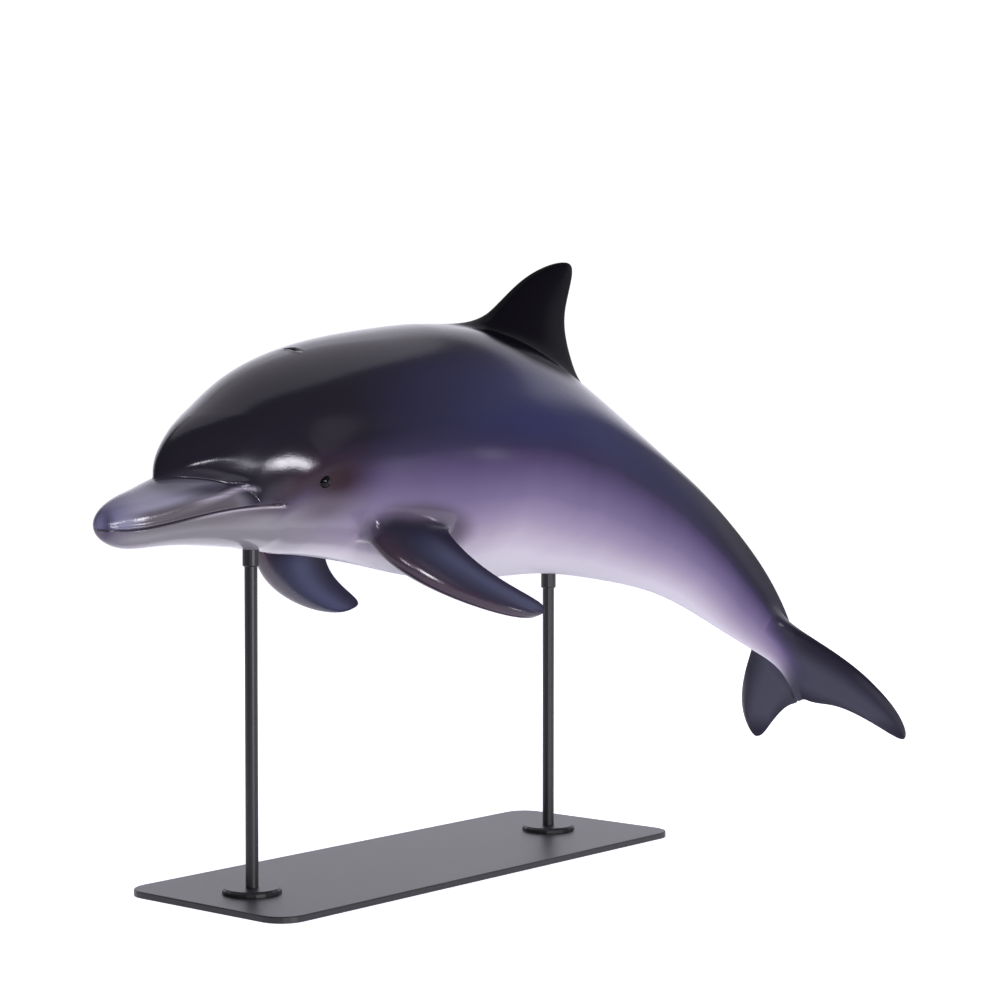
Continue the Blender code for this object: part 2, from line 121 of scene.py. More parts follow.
def crease(angle):
    """Place of the crease: an eased run from the midline, at CREASE_TOP, back to the cheek."""
    return CREASE_TOP + (CREASE_SIDE - CREASE_TOP) * ease(np.abs(angle), 0, CREASE_ANGLE)


def section(along, angle):
    """Side and height of the whole body: the beak's ellipse times a superelliptic nose, carried
    to the trunk's section behind the crease by a quarter circle, or by an ease on the cheeks."""
    on_beak = np.minimum(along, BEAK[-1, 0])
    above, below, half = (spline(on_beak, BEAK[:, 0], BEAK[:, k]) for k in (1, 2, 3))
    nose = (1 - (1 - np.clip(along / NOSE, 0, 1)) ** NOSE_POWER) ** (1 / NOSE_POWER)
    beak_side = -half * nose * np.sin(angle)
    beak_up = NOSE_UP + nose * ((above - below) / 2 + (above + below) / 2 * np.cos(angle) - NOSE_UP)
    trunk_side, trunk_up = trunk_section(np.minimum(along, LENGTH), angle)
    rise = np.clip((along - crease(angle)) / MELON_RISE, 0, 1)
    cheek = ease(np.abs(angle), CHEEK_TOP, CHEEK_END)
    blend = np.sqrt(1 - (1 - rise) ** 2) * (1 - cheek) + ease(rise, 0, 1) * cheek
    return beak_side + (trunk_side - beak_side) * blend, beak_up + (trunk_up - beak_up) * blend


# ---- Rings and lines of the shell: rings square to the spine, except that they follow the crease,
# and lines along it, gathered where the mouth, the eyes and the blowhole need a finer surface.

MOUTH_AT = [0.0, 0.06, 0.12, 0.20, 0.25, 0.30, 0.336]
MOUTH_UP = [-0.010, -0.009, -0.003, 0.001, -0.002, -0.010, -0.018]
EYE_AT, EYE_ANGLE = 0.407, np.radians(101)
BLOWHOLE_AT, BLOWHOLE_ANGLE = 0.507, np.radians(6)
CREASE_FADE = 0.54
NOSE_RINGS, NOSE_START, MELON_RINGS = 18, 0.10, 28
BEFORE_CREASE, BEAK_STEP, CREASE_STEP = 0.006, 0.0034, 0.0015
RING_STEPS = [(0.375, 0.0055), (0.437, 0.0019), (0.487, 0.0055), (0.527, 0.0022),
              (0.84, 0.009), (1.36, 0.0115), (2.08, 0.014), (LENGTH, 0.0085)]
LAST_GAP = 1e-4
MOUTH_BETWEEN, HALVINGS = (50, 150), 30
SIDES = 144
MIDDLE = SIDES // 2
GATHER_ANGLE, GATHER, GATHER_WIDE, SHIFT_WIDE = np.radians(98), 0.78, 0.26, 0.6
MOUTH_TO_EYE, EYE_TO_EVEN = (0.26, 0.36), (0.44, 0.52)
BLOWHOLE_GATHER, BLOWHOLE_WIDE = 0.70, 0.16
BLOWHOLE_FROM, BLOWHOLE_TO = (0.45, 0.487), (0.527, 0.57)


def even(low, high, step):
    """Stations from low towards high, about a step apart, without the last."""
    return np.linspace(low, high, max(2, round((high - low) / step)) + 1)[:-1]


def ring_stations():
    """Stations of the rings: a cosine law on the nose, a quarter circle's law behind the crease,
    and even steps after that, close at the eyes and the blowhole."""
    nose = NOSE * (1 - np.cos(np.linspace(NOSE_START, np.pi / 2, NOSE_RINGS)[:-1]))
    melon = MELON_RISE * (1 - np.sqrt(1 - np.linspace(0, 1, MELON_RINGS)[:-1] ** 2))
    beak_end = CREASE_TOP - BEFORE_CREASE
    starts = [CREASE_TOP + MELON_RISE] + [end for end, _ in RING_STEPS]
    rest = [even(start, end, step) for start, (end, step) in zip(starts, RING_STEPS)]
    return np.concatenate([nose, even(NOSE, beak_end, BEAK_STEP),
                           even(beak_end, CREASE_TOP, CREASE_STEP), CREASE_TOP + melon,
                           *rest, [LENGTH - LAST_GAP]])


def ring_along(ring, angle):
    """A ring's place along the spine: near the crease it follows the crease, then fades to square."""
    fade = np.where(ring < CREASE_TOP, ease(ring, 0, CREASE_TOP),
                    1 - ease(ring, CREASE_TOP + MELON_RISE, CREASE_FADE))
    return ring + (crease(angle) - CREASE_TOP) * fade


def mouth_height(along):
    """Height of the line between the lips."""
    return spline(np.minimum(along, MOUTH_AT[-1]), MOUTH_AT, MOUTH_UP)


def mouth_angle(ring):
    """Angle at which each ring meets the mouth line, by halving an interval again and again."""
    low, high = (np.full_like(ring, np.radians(end)) for end in MOUTH_BETWEEN)
    for _ in range(HALVINGS):
        middle = (low + high) / 2
        along = ring_along(ring, middle)
        over = section(along, middle)[1] > mouth_height(along)
        low, high = np.where(over, middle, low), np.where(over, high, middle)
    return middle


def line_angles(ring):
    """Angles of the lines: even, moved towards the mouth line or the eye and crowded there, and
    crowded at the blowhole too. An offset x from such a place becomes x - gather x exp(-(x/w)^2)."""
    sweep = (np.arange(SIDES) - MIDDLE)[None, :] * 2 * np.pi / SIDES
    to_eye = ease(ring, *MOUTH_TO_EYE)
    centre = mouth_angle(ring) * (1 - to_eye) + EYE_ANGLE * to_eye
    fade = 1 - ease(ring, *EYE_TO_EVEN)
    apart = np.abs(sweep) - GATHER_ANGLE
    angle = np.abs(sweep) + fade * (centre - GATHER_ANGLE) * hump(apart, 0, SHIFT_WIDE)
    angle = np.where(sweep < 0, -1, 1) * (angle - GATHER * fade * apart * hump(apart, 0, GATHER_WIDE))
    near_blowhole = ease(ring, *BLOWHOLE_FROM) * (1 - ease(ring, *BLOWHOLE_TO))
    apart = sweep - BLOWHOLE_ANGLE
    return angle - BLOWHOLE_GATHER * near_blowhole * apart * hump(apart, 0, BLOWHOLE_WIDE)


rings = ring_stations()
angle = line_angles(rings[:, None])
along = ring_along(rings[:, None], angle)
side, up = section(along, angle)
body = np.stack([along, side, up], -1)


def outward(grid):
    """Unit normals of the grid of rings: the step round times the step along, as a cross product."""
    normal = np.cross(np.roll(grid, -1, 1) - np.roll(grid, 1, 1), np.gradient(grid, axis=0))
    return normal / np.linalg.norm(normal, axis=-1, keepdims=True)


# ---- Mouth, crease, lids and blowhole: modelled in the clay before the mould was taken. Each is
# a height over the smooth surface, a sum of bell curves of the distance from its own line.

# A pair is a run from none to full, along the spine or in degrees from the back. A row of three is
# a bell curve's height or share, its middle and its width.
GAPE_END = (0.322, 0.339)
GROOVE_DEEP, GROOVE_UP, GROOVE_WIDE, GROOVE_START = 0.0038, -0.0004, 0.0015, (0.002, 0.07)
BEAD_HIGH, BEAD_START = 0.0016, (0.006, 0.05)
BEADS = [(1.0, 0.0032, 0.0018), (-0.4, 0.0072, 0.0018), (0.8, -0.0036, 0.0016)]
LIP_AT = [0.04, 0.075, 0.165, 0.196, 0.229, 0.264, 0.288]
LIP_UP = [0.010, 0.013, 0.023, 0.025, 0.027, 0.029, 0.022]
ROLL = [(0.0040, 0.002, 0.0062), (-0.0016, -0.012, 0.0060), (-0.0016, 0.012, 0.0060)]
ROLL_START, ROLL_END = (0.10, 0.22), (0.256, 0.298)
FRONT_HIGH, FRONT_WIDE, FRONT_START = 0.0012, 0.0065, (0.02, 0.06)


def mouth_relief(along, up):
    """A dark groove between a bead along the upper lip and a lower one on the jaw, with a finer
    groove over the upper bead, all dying out on the very tip and closing round the corner."""
    over = up - mouth_height(along)
    groove = GROOVE_DEEP * ease(along, *GROOVE_START) * hump(over, GROOVE_UP, GROOVE_WIDE)
    beads = sum(share * hump(over, middle, wide) for share, middle, wide in BEADS)
    return (1 - ease(along, *GAPE_END)) * (BEAD_HIGH * ease(along, *BEAD_START) * beads - groove)


def lip_height(along):
    """Height of the middle of the upper lip's roll."""
    return spline(np.clip(along, LIP_AT[0], LIP_AT[-1]), LIP_AT, LIP_UP)


def lip_relief(along, up):
    """The upper lip's roll: a ridge along the beak's side between two furrows, running back to
    the point where the crease ends, and a lower ridge without furrows before it."""
    over = up - lip_height(along)
    fade = ease(along, *ROLL_START) * (1 - ease(along, *ROLL_END))
    front = ease(along, *FRONT_START) * (1 - ease(along, *ROLL_START))
    roll = sum(high * hump(over, middle, wide) for high, middle, wide in ROLL)
    return fade * roll + FRONT_HIGH * front * hump(over, 0, FRONT_WIDE)


CREASE_DEEP, CREASE_BACK, CREASE_WIDE = 0.0022, -0.0006, 0.0036
PINCH_START, PINCH_END = (12, 26), (62, 76)
BRIM_HIGH, BRIM_START, BRIM_END = 0.0030, (16, 30), (42, 60)
BRIM_BACK = [[24, 28, 36, 44, 50, 60], [0.0, 0.004, 0.010, 0.0155, 0.018, 0.021]]
BRIM_WIDE = [[20, 42], [0.0060, 0.0115]]


def crease_relief(along, angle):
    """The crease is pinched to a line down to the lip's roll, where it ends, with the melon's rolled
    brim behind it."""
    apart = along - crease(angle)
    turn = np.degrees(np.abs(angle))
    pinch = ease(turn, *PINCH_START) * (1 - ease(turn, *PINCH_END))
    brim = ease(turn, *BRIM_START) * (1 - ease(turn, *BRIM_END))
    return (BRIM_HIGH * brim * hump(apart, np.interp(turn, *BRIM_BACK), np.interp(turn, *BRIM_WIDE))
            - CREASE_DEEP * pinch * hump(apart, CREASE_BACK, CREASE_WIDE))


EYE_RADIUS, EYE_PROUD = 0.015, 0.0065
LID, LID_HIGH, LID_WIDE = 0.0128, 0.0014, 0.11
LID_SIDE = 0.05
BROW_AND_BAG = [(0.0006, 0.026, (0.030, 0.010)), (0.0012, -0.022, (0.026, 0.007))]


def soft_spot(x, y, middle, reach):
    """Bell curve of a point's distance from a middle, in shares of the reach each way."""
    return hump(np.hypot((x - middle[0]) / reach[0], (y - middle[1]) / reach[1]), 0, 1)


def eye_relief(along, side, up):
    """A thin rolled lid round the eyeball, and a soft brow above it and bag below."""
    eye_side, eye_up = section(np.array(EYE_AT), np.array(EYE_ANGLE))
    back, high = along - EYE_AT, up - eye_up
    lid = LID_HIGH * hump(np.hypot(back, high) / LID, 1, LID_WIDE)
    swell = sum(amount * soft_spot(back, high, (0, lift), reach) for amount, lift, reach in BROW_AND_BAG)
    return hump(np.abs(side), -eye_side, LID_SIDE) * (lid + swell)


BACK_RADIUS = 0.228
SLIT_DEEP, SLIT_WIDE, SLIT_CURVE, SLIT_HORN = 0.0070, 0.0028, 12, (0.012, 0.024)
RIM_HIGH, RIM_WIDE, RIM_BACK, RIM_ACROSS = 0.0008, 0.30, 0.0085, 0.024


def blowhole_relief(along, angle):
    """A crescent slit, its horns forward, in a low oval rim."""
    across = (angle - BLOWHOLE_ANGLE) * BACK_RADIUS
    back = along - BLOWHOLE_AT + SLIT_CURVE * across ** 2
    slit = -SLIT_DEEP * hump(back, 0, SLIT_WIDE) * (1 - ease(np.abs(across), *SLIT_HORN))
    return slit + RIM_HIGH * hump(np.hypot(back / RIM_BACK, across / RIM_ACROSS), 1, RIM_WIDE)


TEMPLE_START, TEMPLE_END = (0.280, 0.350), (0.370, 0.520)
CHEEK_FULL, CHEEK_UP, CHEEK_WIDE = 0.0028, 0.034, 0.034
TEMPLE_DEEP, TEMPLE_UP, TEMPLE_WIDE = 0.0030, 0.104, 0.040


def temple_relief(along, up):
    """The cheek below the temple is fuller than the temple itself, from the crease to the eye."""
    return ease(along, *TEMPLE_START) * (1 - ease(along, *TEMPLE_END)) * (
        CHEEK_FULL * hump(up, CHEEK_UP, CHEEK_WIDE) - TEMPLE_DEEP * hump(up, TEMPLE_UP, TEMPLE_WIDE))


relief = (temple_relief(along, up) + mouth_relief(along, up) + lip_relief(along, up)
          + crease_relief(along, angle) + eye_relief(along, side, up) + blowhole_relief(along, angle))
body = body + outward(body) * relief[..., None]

# ---- Fins: dorsal fin, flippers and flukes are moulded in one with the shell. Each is a teardrop
# carried from root to tip between two edge curves, and a fillet joins it to a window in the rings.
# Edges are cubic curves by their four control points (along, side, up), the last one the tip.

DORSAL_LEAD = [(0.86, 0, 0.233), (1.076, 0, 0.281), (1.018, 0, 0.382), (1.221, 0, 0.473)]
DORSAL_TRAIL = [(1.322, 0, 0.191), (1.171, 0, 0.342), (1.232, 0, 0.356), (1.221, 0, 0.473)]
FLIPPER_LEAD = [(0.523, -0.127, -0.111), (0.482, -0.233, -0.228),
                (0.807, -0.299, -0.332), (0.921, -0.258, -0.301)]
FLIPPER_TRAIL = [(0.726, -0.146, -0.125), (0.748, -0.253, -0.267),
                 (1.023, -0.237, -0.273), (0.921, -0.258, -0.301)]
FLUKE_LEAD = [(2.141, -0.034, 0.020), (2.248, -0.048, 0.005),
              (2.408, -0.262, 0.045), (2.587, -0.205, 0.059)]
FLUKE_TRAIL = [(2.399, -0.002, -0.013), (2.464, -0.055, 0.029),
               (2.407, -0.049, 0.032), (2.587, -0.205, 0.059)]
RIGHT_FLIPPER_ROOT = (0.62, 0.135, -0.10)
RIGHT_FLIPPER_TURN = (-3.7, 2.0)
DORSAL_HALF, FLIPPER_HALF, FLUKE_HALF = (0.036, 0.006), (0.030, 0.006), (0.030, 0.006)
FIN_FULLNESS = 0.42
TIP_FROM, TIP_END, TIP_POWER = 0.86, 0.956, 4
NEAR_TIP, SPAN_STEP = 0.93, 0.01
FILLET_ROWS = 9
LEAD_CAP, TRAIL_CAP = 0.06, 0.03


def bezier(points, t):
    """Cubic curve from the first control point to the last, by Bernstein's weights."""
    p = np.asarray(points, float)
    t = np.asarray(t, float)[..., None]
    return ((1 - t) ** 3 * p[0] + 3 * t * (1 - t) ** 2 * p[1]
            + 3 * t * t * (1 - t) * p[2] + t ** 3 * p[3])


def fin_surface(lead, trail, half, lag, spans, chord_at, over):
    """Points of a fin: chord_at runs 0 to 1 from leading to trailing edge, over is 1 on one face,
    -1 on the other. The thickness follows a teardrop, the trailing edge's root lags behind the
    leading edge's, and towards the tip chord and thickness close as a quarter superellipse."""
    def edges(at):
        return bezier(lead, at), bezier(trail, at * (1 - lag * (1 - at) ** 2))

    front, rear = edges(spans)
    near = np.minimum(spans, NEAR_TIP)
    (a, b), (c, d) = edges(near), edges(near + SPAN_STEP)
    normal = np.cross(b - a, c + d - a - b)
    normal /= np.linalg.norm(normal, axis=-1, keepdims=True)
    closed = np.clip((spans - TIP_FROM) / (TIP_END - TIP_FROM), 0, 1)
    close = (1 - closed ** TIP_POWER) ** (1 / TIP_POWER)
    front, rear = ((front + rear) / 2 + sign * close[:, None] * (rear - front) / 2 for sign in (-1, 1))
    thick = (half[0] + (half[1] - half[0]) * spans) * close
    round_ = np.arccos(1 - 2 * chord_at)
    bulge = over * np.sin(round_) * (1 + FIN_FULLNESS * np.cos(round_))
    return (front[:, None] + (rear - front)[:, None] * chord_at[None, :, None]
            + normal[:, None] * (thick[:, None] * bulge)[..., None])


def window_loop(rows, lines):
    """Grid indices round a window of the rings, and each one's place on a fin's section: across
    the front with the leading edge in its middle, back along one face, and forward on the other."""
    (i0, i1), (j0, j1) = rows, lines
    i, j = np.arange(i0, i1), np.arange(j0, j1)
    ring = np.concatenate([0 * j + i0, i, 0 * j + i1, i[::-1] + 1])
    line = np.concatenate([j, 0 * i + j1, j[::-1] + 1, 0 * i + j0])
    cap_lead, cap_trail = np.arccos(1 - 2 * LEAD_CAP), np.arccos(1 - 2 * TRAIL_CAP)
    front = np.linspace(-cap_lead, cap_lead, len(j) + 1)[:-1]
    rear = np.linspace(-cap_trail, cap_trail, len(j) + 1)[:-1]
    share = (rings[i0:i1 + 1] - rings[i0]) / (rings[i1] - rings[i0])
    face = LEAD_CAP + (1 - TRAIL_CAP - LEAD_CAP) * share
    chord_at = np.concatenate([(1 - np.cos(front)) / 2, face[:-1], (1 + np.cos(rear)) / 2, face[:0:-1]])
    over = np.concatenate([np.sign(front), 1 + 0 * i, -np.sign(rear), 0 * i - 1])
    return ring, line, chord_at, over


def fin_rows(shape, lag, root, rows, lines, fin_count, pull=(1.0, 0.9)):
    """Loop in the rings and the rows of points from it to the tip: a fillet of cubic curves that
    leave along the body's surface and arrive along the fin's, then the fin, closer at its tip.
    With them go the span that each row has reached and each column's place on the section."""
    ring, line, chord_at, over = window_loop(rows, lines)
    spans = root + (TIP_END - root) * np.sin(np.linspace(0, np.pi / 2, fin_count + 1))[:-1]
    fin = fin_surface(*shape, lag, spans, chord_at, over)
    next_row = fin_surface(*shape, lag, spans[:1] + SPAN_STEP, chord_at, over)[0]
    start, normal = body[ring, line], outward(body)[ring, line]
    gap = fin[0] - start
    size = np.linalg.norm(gap, axis=-1, keepdims=True)
    leave = gap - (gap * normal).sum(-1, keepdims=True) * normal
    leave *= pull[0] * size / np.linalg.norm(leave, axis=-1, keepdims=True)
    arrive = next_row - fin[0]
    arrive *= pull[1] * size / np.linalg.norm(arrive, axis=-1, keepdims=True)
    t = np.linspace(0, 1, FILLET_ROWS + 1)[1:-1, None, None]
    fillet = ((2 * t ** 3 - 3 * t ** 2 + 1) * start + (t ** 3 - 2 * t ** 2 + t) * leave
              + (3 * t ** 2 - 2 * t ** 3) * fin[0] + (t ** 3 - t ** 2) * arrive)
    tip = (bezier(shape[0], np.array(TIP_END)) + bezier(shape[1], np.array(TIP_END))) / 2
    reached = np.concatenate([root * t.ravel(), spans])
    return ring, line, np.concatenate([fillet, fin]), tip, reached, chord_at, over


def rows_between(low, high):
    """First and last ring of a window, from places along the spine."""
    return np.searchsorted(rings, low), np.searchsorted(rings, high)


def lines_between(low, high):
    """First and last line of a window, from angles in degrees."""
    return (MIDDLE + round(low * SIDES / 360), MIDDLE + round(high * SIDES / 360))


def mirrored(fin):
    """The same fin on the other side, run the other way round so that its faces point outwards."""
    ring, line, points, tip, reached, chord_at, over = fin
    flip = np.array([1, -1, 1])
    return (ring[::-1], (-line[::-1]) % SIDES, points[:, ::-1] * flip, tip * flip,
            reached, chord_at[::-1], over[::-1])


def turned_edge(points):
    """An edge of the left flipper that takes the right one's pose when mirrored: turned about the
    spine's direction and then about the side's, at the root."""
    about, tilt = np.radians(RIGHT_FLIPPER_TURN)
    along, side, up = (np.array(points) * (1, -1, 1) - RIGHT_FLIPPER_ROOT).T
    side, up = side * np.cos(about) - up * np.sin(about), side * np.sin(about) + up * np.cos(about)
    along, up = along * np.cos(tilt) + up * np.sin(tilt), up * np.cos(tilt) - along * np.sin(tilt)
    return (np.stack([along, side, up], -1) + RIGHT_FLIPPER_ROOT) * (1, -1, 1)


def flipper_rows(lead, trail):
    """Rows of one flipper, modelled on the left side."""
    return fin_rows((lead, trail, FLIPPER_HALF), lag=0.0, root=0.052, rows=rows_between(0.504, 0.747),
                    lines=lines_between(120, 145), fin_count=46, pull=(0.9, 0.8))


dorsal = fin_rows((DORSAL_LEAD, DORSAL_TRAIL, DORSAL_HALF), lag=1.29, root=0.32,
                  rows=rows_between(0.84, 1.345), lines=lines_between(-15, 15), fin_count=36)
flipper_left = flipper_rows(FLIPPER_LEAD, FLIPPER_TRAIL)
flipper_right = mirrored(flipper_rows(turned_edge(FLIPPER_LEAD), turned_edge(FLIPPER_TRAIL)))
fluke_left = fin_rows((FLUKE_LEAD, FLUKE_TRAIL, FLUKE_HALF), lag=0.0, root=0.11,
                      rows=rows_between(2.108, 2.388), lines=lines_between(47.5, 132.5), fin_count=42)
fluke_right = mirrored(fluke_left)

# ---- Pose: the spine's fall towards the tail bends the straight shell into the leap, and the
# flukes are rolled a little about it. The reference point holds the shell over its stand.

SPINE_AT = [0.0, 0.29, 0.60, 0.96, 1.32, 1.68, 2.04, 2.40]
SPINE_FALL = [3, -13.5, -7, 5.5, 16, 22, 32, 60]
TAIL_ROLL, ROLL_FROM, ROLL_TO = -6.5, 1.60, 2.20
REFERENCE, REFERENCE_POINT = 1.08, (0.25, 0.0, 0.785)
SPINE_STATIONS = 801


def place(points):
    """Straight to leaping: x and z of the spine are running sums of the cosine and sine of its
    fall, and a point's side and height are set square to it after the roll."""
    at = np.linspace(0, LENGTH, SPINE_STATIONS)
    fall = np.radians(spline(at, SPINE_AT, SPINE_FALL))
    step = at[1] / 2
    x = np.concatenate([[0], np.cumsum((np.cos(fall[1:]) + np.cos(fall[:-1])) * step)])
    z = np.concatenate([[0], -np.cumsum((np.sin(fall[1:]) + np.sin(fall[:-1])) * step)])
    x += REFERENCE_POINT[0] - np.interp(REFERENCE, at, x)
    z += REFERENCE_POINT[2] - np.interp(REFERENCE, at, z)
    along, side, up = points[..., 0], points[..., 1], points[..., 2]
    roll = np.radians(TAIL_ROLL) * ease(along, ROLL_FROM, ROLL_TO)
    side, up = side * np.cos(roll) - up * np.sin(roll), side * np.sin(roll) + up * np.cos(roll)
    turn = np.interp(along, at, fall)
    past = along - np.clip(along, 0, LENGTH)
    return np.stack([np.interp(along, at, x) + past * np.cos(turn) + up * np.sin(turn), side,
                     np.interp(along, at, z) - past * np.sin(turn) + up * np.cos(turn)], -1)


# ---- Shell: rings, fillets and fins laid up as one closed skin with no seam. It stands for all
# the solids of the body, which the CAD divides where a person would name the parts.

SOFT_EDGE = [1.0, 0.75, 0.4, 0.15]
TAIL_RINGS, TAIL_SHARE = 8, 0.5
VALLEY_WIDE, VALLEY_END = 0.010, (14, 34)
CORNER_SPOT, CORNER_REACH = (0.308, 87), (0.026, 6)
FAIR_SHARE, FAIR_TURNS = 0.5, 14
POLE_PAST = 0.001
BODY, DORSAL, FLIPPERS, FLUKES = 0, 1, (2, 3), (4, 5)
FLESH = ["beak_upper", "beak_lower", "head", "chest", "trunk", "tail_stock", "fluke_centre",
         "fluke_left", "fluke_right", "dorsal_fin", "flipper_left", "flipper_right"]


def band_faces(first, second):
    """Quads between two closed loops of vertex numbers."""
    return np.stack([first, np.roll(first, -1), np.roll(second, -1), second], -1)


def ring_softness():
    """How far a vertex of the rings may move in the fairing: half at the tail's end, and fully in
    the valley between beak and melon and in a spot behind the mouth, where the crease runs out."""
    turn = np.degrees(np.abs(angle))
    valley = hump(along - crease(angle), 0, VALLEY_WIDE) * (1 - ease(turn, *VALLEY_END))
    soften = np.maximum(valley, soft_spot(along, turn, CORNER_SPOT, CORNER_REACH))
    soften[-TAIL_RINGS:] = np.maximum(soften[-TAIL_RINGS:], TAIL_SHARE)
    return soften


def join_shell(fins):
    """Vertices, quads and triangles: the rings less the windows, a pole at each end, and each
    fin's rows and tip. Also, for each vertex, how far it may move in the fairing (fully in a
    fillet, less within three rings or rows of it) and its kind, span, chord and face."""
    count = len(rings)
    number = np.arange(count * SIDES).reshape(count, SIDES)
    end = [LENGTH + POLE_PAST, 0, body[-1, :, 2].mean()]
    points = [body.reshape(-1, 3), [[0, 0, NOSE_UP]], [end]]
    soften = ring_softness()
    soften_fins = [np.zeros(2)]
    on_fin = [np.zeros((count * SIDES + 2, 4))]
    keep = np.ones((count - 1, SIDES), bool)
    quads, triangles = [], []
    fresh = count * SIDES + 2
    for kind, (ring, line, rows, tip, reached, chord_at, over) in enumerate(fins, 1):
        low, high = (line.min(), line.max())
        keep[ring.min():ring.max(), low:high] = False
        for out, share in enumerate(SOFT_EDGE):
            edge = np.zeros((count, SIDES), bool)
            edge[ring.min() - out:ring.max() + 1 + out, low - out:high + 1 + out] = True
            soften[edge] = np.maximum(soften[edge], share)
        row_share = np.zeros(len(rows))
        row_share[:FILLET_ROWS - 1] = 1
        row_share[FILLET_ROWS - 1:FILLET_ROWS - 1 + len(SOFT_EDGE)] = SOFT_EDGE
        soften_fins.append(np.append(np.repeat(row_share, len(ring)), 0))
        loops = fresh + np.arange(rows.shape[0] * rows.shape[1]).reshape(rows.shape[:2])
        loops = np.concatenate([[number[ring, line]], loops])
        quads += [band_faces(a, b) for a, b in zip(loops[:-1], loops[1:])]
        last = loops[-1]
        fresh += rows.shape[0] * rows.shape[1] + 1
        triangles.append(np.stack([last, np.roll(last, -1), 0 * last + fresh - 1], -1))
        points += [rows.reshape(-1, 3), [tip]]
        span, chord = np.meshgrid(reached, chord_at, indexing="ij")
        face = np.broadcast_to(over, span.shape)
        on_fin += [np.stack([0 * span + kind, span, chord, face], -1).reshape(-1, 4),
                   [[kind, TIP_END, 0.5, 0]]]
    body_quads = np.stack([number[:-1], np.roll(number, -1, 1)[:-1],
                           np.roll(number, -1, 1)[1:], number[1:]], -1)
    quads.append(body_quads[keep])
    first, last, nose = number[0], number[-1], count * SIDES
    triangles.append(np.stack([0 * first + nose, np.roll(first, -1), first], -1))
    triangles.append(np.stack([last, np.roll(last, -1), 0 * last + nose + 1], -1))
    return (np.concatenate(points), np.concatenate(quads), np.concatenate(triangles),
            np.concatenate([soften.ravel()] + soften_fins), np.concatenate(on_fin))


def solid_mesh(name, points, quads, triangles):
    """Mesh object from vertex, quad and triangle arrays, smooth shaded."""
    mesh = bpy.data.meshes.new(name)
    mesh.vertices.add(len(points))
    mesh.vertices.foreach_set("co", np.ravel(points))
    corners = np.concatenate([quads.ravel(), triangles.ravel()])
    mesh.loops.add(len(corners))
    mesh.loops.foreach_set("vertex_index", corners)
    sizes = np.concatenate([np.full(len(quads), 4), np.full(len(triangles), 3)])
    mesh.polygons.add(len(sizes))
    mesh.polygons.foreach_set("loop_start", np.concatenate([[0], np.cumsum(sizes)[:-1]]))
    mesh.update(calc_edges=True)
    mesh.validate()
    mesh.shade_smooth()
    thing = bpy.data.objects.new(name, mesh)
    bpy.context.scene.collection.objects.link(thing)
    return thing


def faired(points, quads, amount, turns):
    """Each vertex moved, by its own amount, towards the middle of its neighbours, turns times."""
    edges = np.concatenate([quads[:, [0, 1]], quads[:, [1, 2]], quads[:, [2, 3]], quads[:, [3, 0]]])
    edges = np.concatenate([edges, edges[:, ::-1]])
    share = np.bincount(edges[:, 0], minlength=len(points))
    for _ in range(turns):
        total = np.stack([np.bincount(edges[:, 0], points[edges[:, 1], k], len(points))
                          for k in range(3)], -1)
        points = points + amount[:, None] * (total / np.maximum(share, 1)[:, None] - points)
    return points


fins = [dorsal, flipper_left, flipper_right, fluke_left, fluke_right]
straight, quads, triangles, soften, on_fin = join_shell(fins)
straight = faired(straight, quads, FAIR_SHARE * soften, FAIR_TURNS)
points = place(straight)
skin = solid_mesh("dolphin_skin", points, quads, triangles)
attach(skin, "root")
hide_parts(*FLESH)

# ---- Paint: air-brushed over the white shell, with some painted shade, shadow and highlights
# among its coats. Masks for each colour are worked out from the place along the spine and round
# the body, kept on the mesh, and mixed in the material.

# A pair is a run from none to full, or a bell curve's middle and width: along the spine, in height,
# in degrees from the back, or in shares of a fin's span or chord. A spot has a middle and a reach.
EDGE_AT = [0.0, 0.5, 0.7, 0.95, 1.2, 1.5, 1.8, 2.1, 2.4]
BACK_EDGE = [92, 94, 88, 86, 84, 84, 90, 96, 104]
BELLY_EDGE = [150, 162, 148, 134, 140, 148, 156, 168, 180]
TONE_PAST = 0.3
BLUE_AT = [[0.0, 0.5, 0.6, 0.8, 0.95, 1.2, 1.5, 1.8, 2.1, 2.4],
           [0, 0, 0.25, 0.75, 1.0, 0.9, 0.6, 0.2, 0.1, 0]]
BLUE_TURN = (25, 60)


def round_body(points, body_angle):
    """Angle from the back of every vertex, in degrees: the lines' own angle on the rings, and
    elsewhere the angle about the middle of the trunk's ellipse."""
    along = np.clip(points[:, 0], TRUNK[0, 0], LENGTH)
    above, below, half = (spline(along, TRUNK[:, 0], TRUNK[:, k]) for k in (1, 2, 3))
    high = (points[:, 2] - (above - below) / 2) / ((above + below) / 2)
    turn = np.arctan2(np.abs(points[:, 1]) / half, high)
    turn[:body_angle.size] = np.abs(body_angle).ravel()
    return np.degrees(turn)


def side_masks(along, turn):
    """The side's tone, 0 at the back's edge and 1 at the belly's, and the blue of the flank."""
    back, belly = np.interp(along, EDGE_AT, BACK_EDGE), np.interp(along, EDGE_AT, BELLY_EDGE)
    return {"tone": np.clip((turn - back) / (belly - back), -TONE_PAST, 1 + TONE_PAST),
            "blue": np.interp(along, *BLUE_AT) * ease(turn, *BLUE_TURN)}


UNDER_MOUTH, CORNER_PAST, THROAT_TURN, JAW_PAST = (-0.006, 0.001), (0.30, 0.36), (100, 122), (0.30, 0.56)
# Painted shade along the jaw just under the mouth line: its middle and width in degrees, and its fading
# along the spine.
JAW_SHADE, JAW_SHADE_PAST = (106, 15), (0.20, 0.34)
CHIN_PAST = (0.015, 0.065)


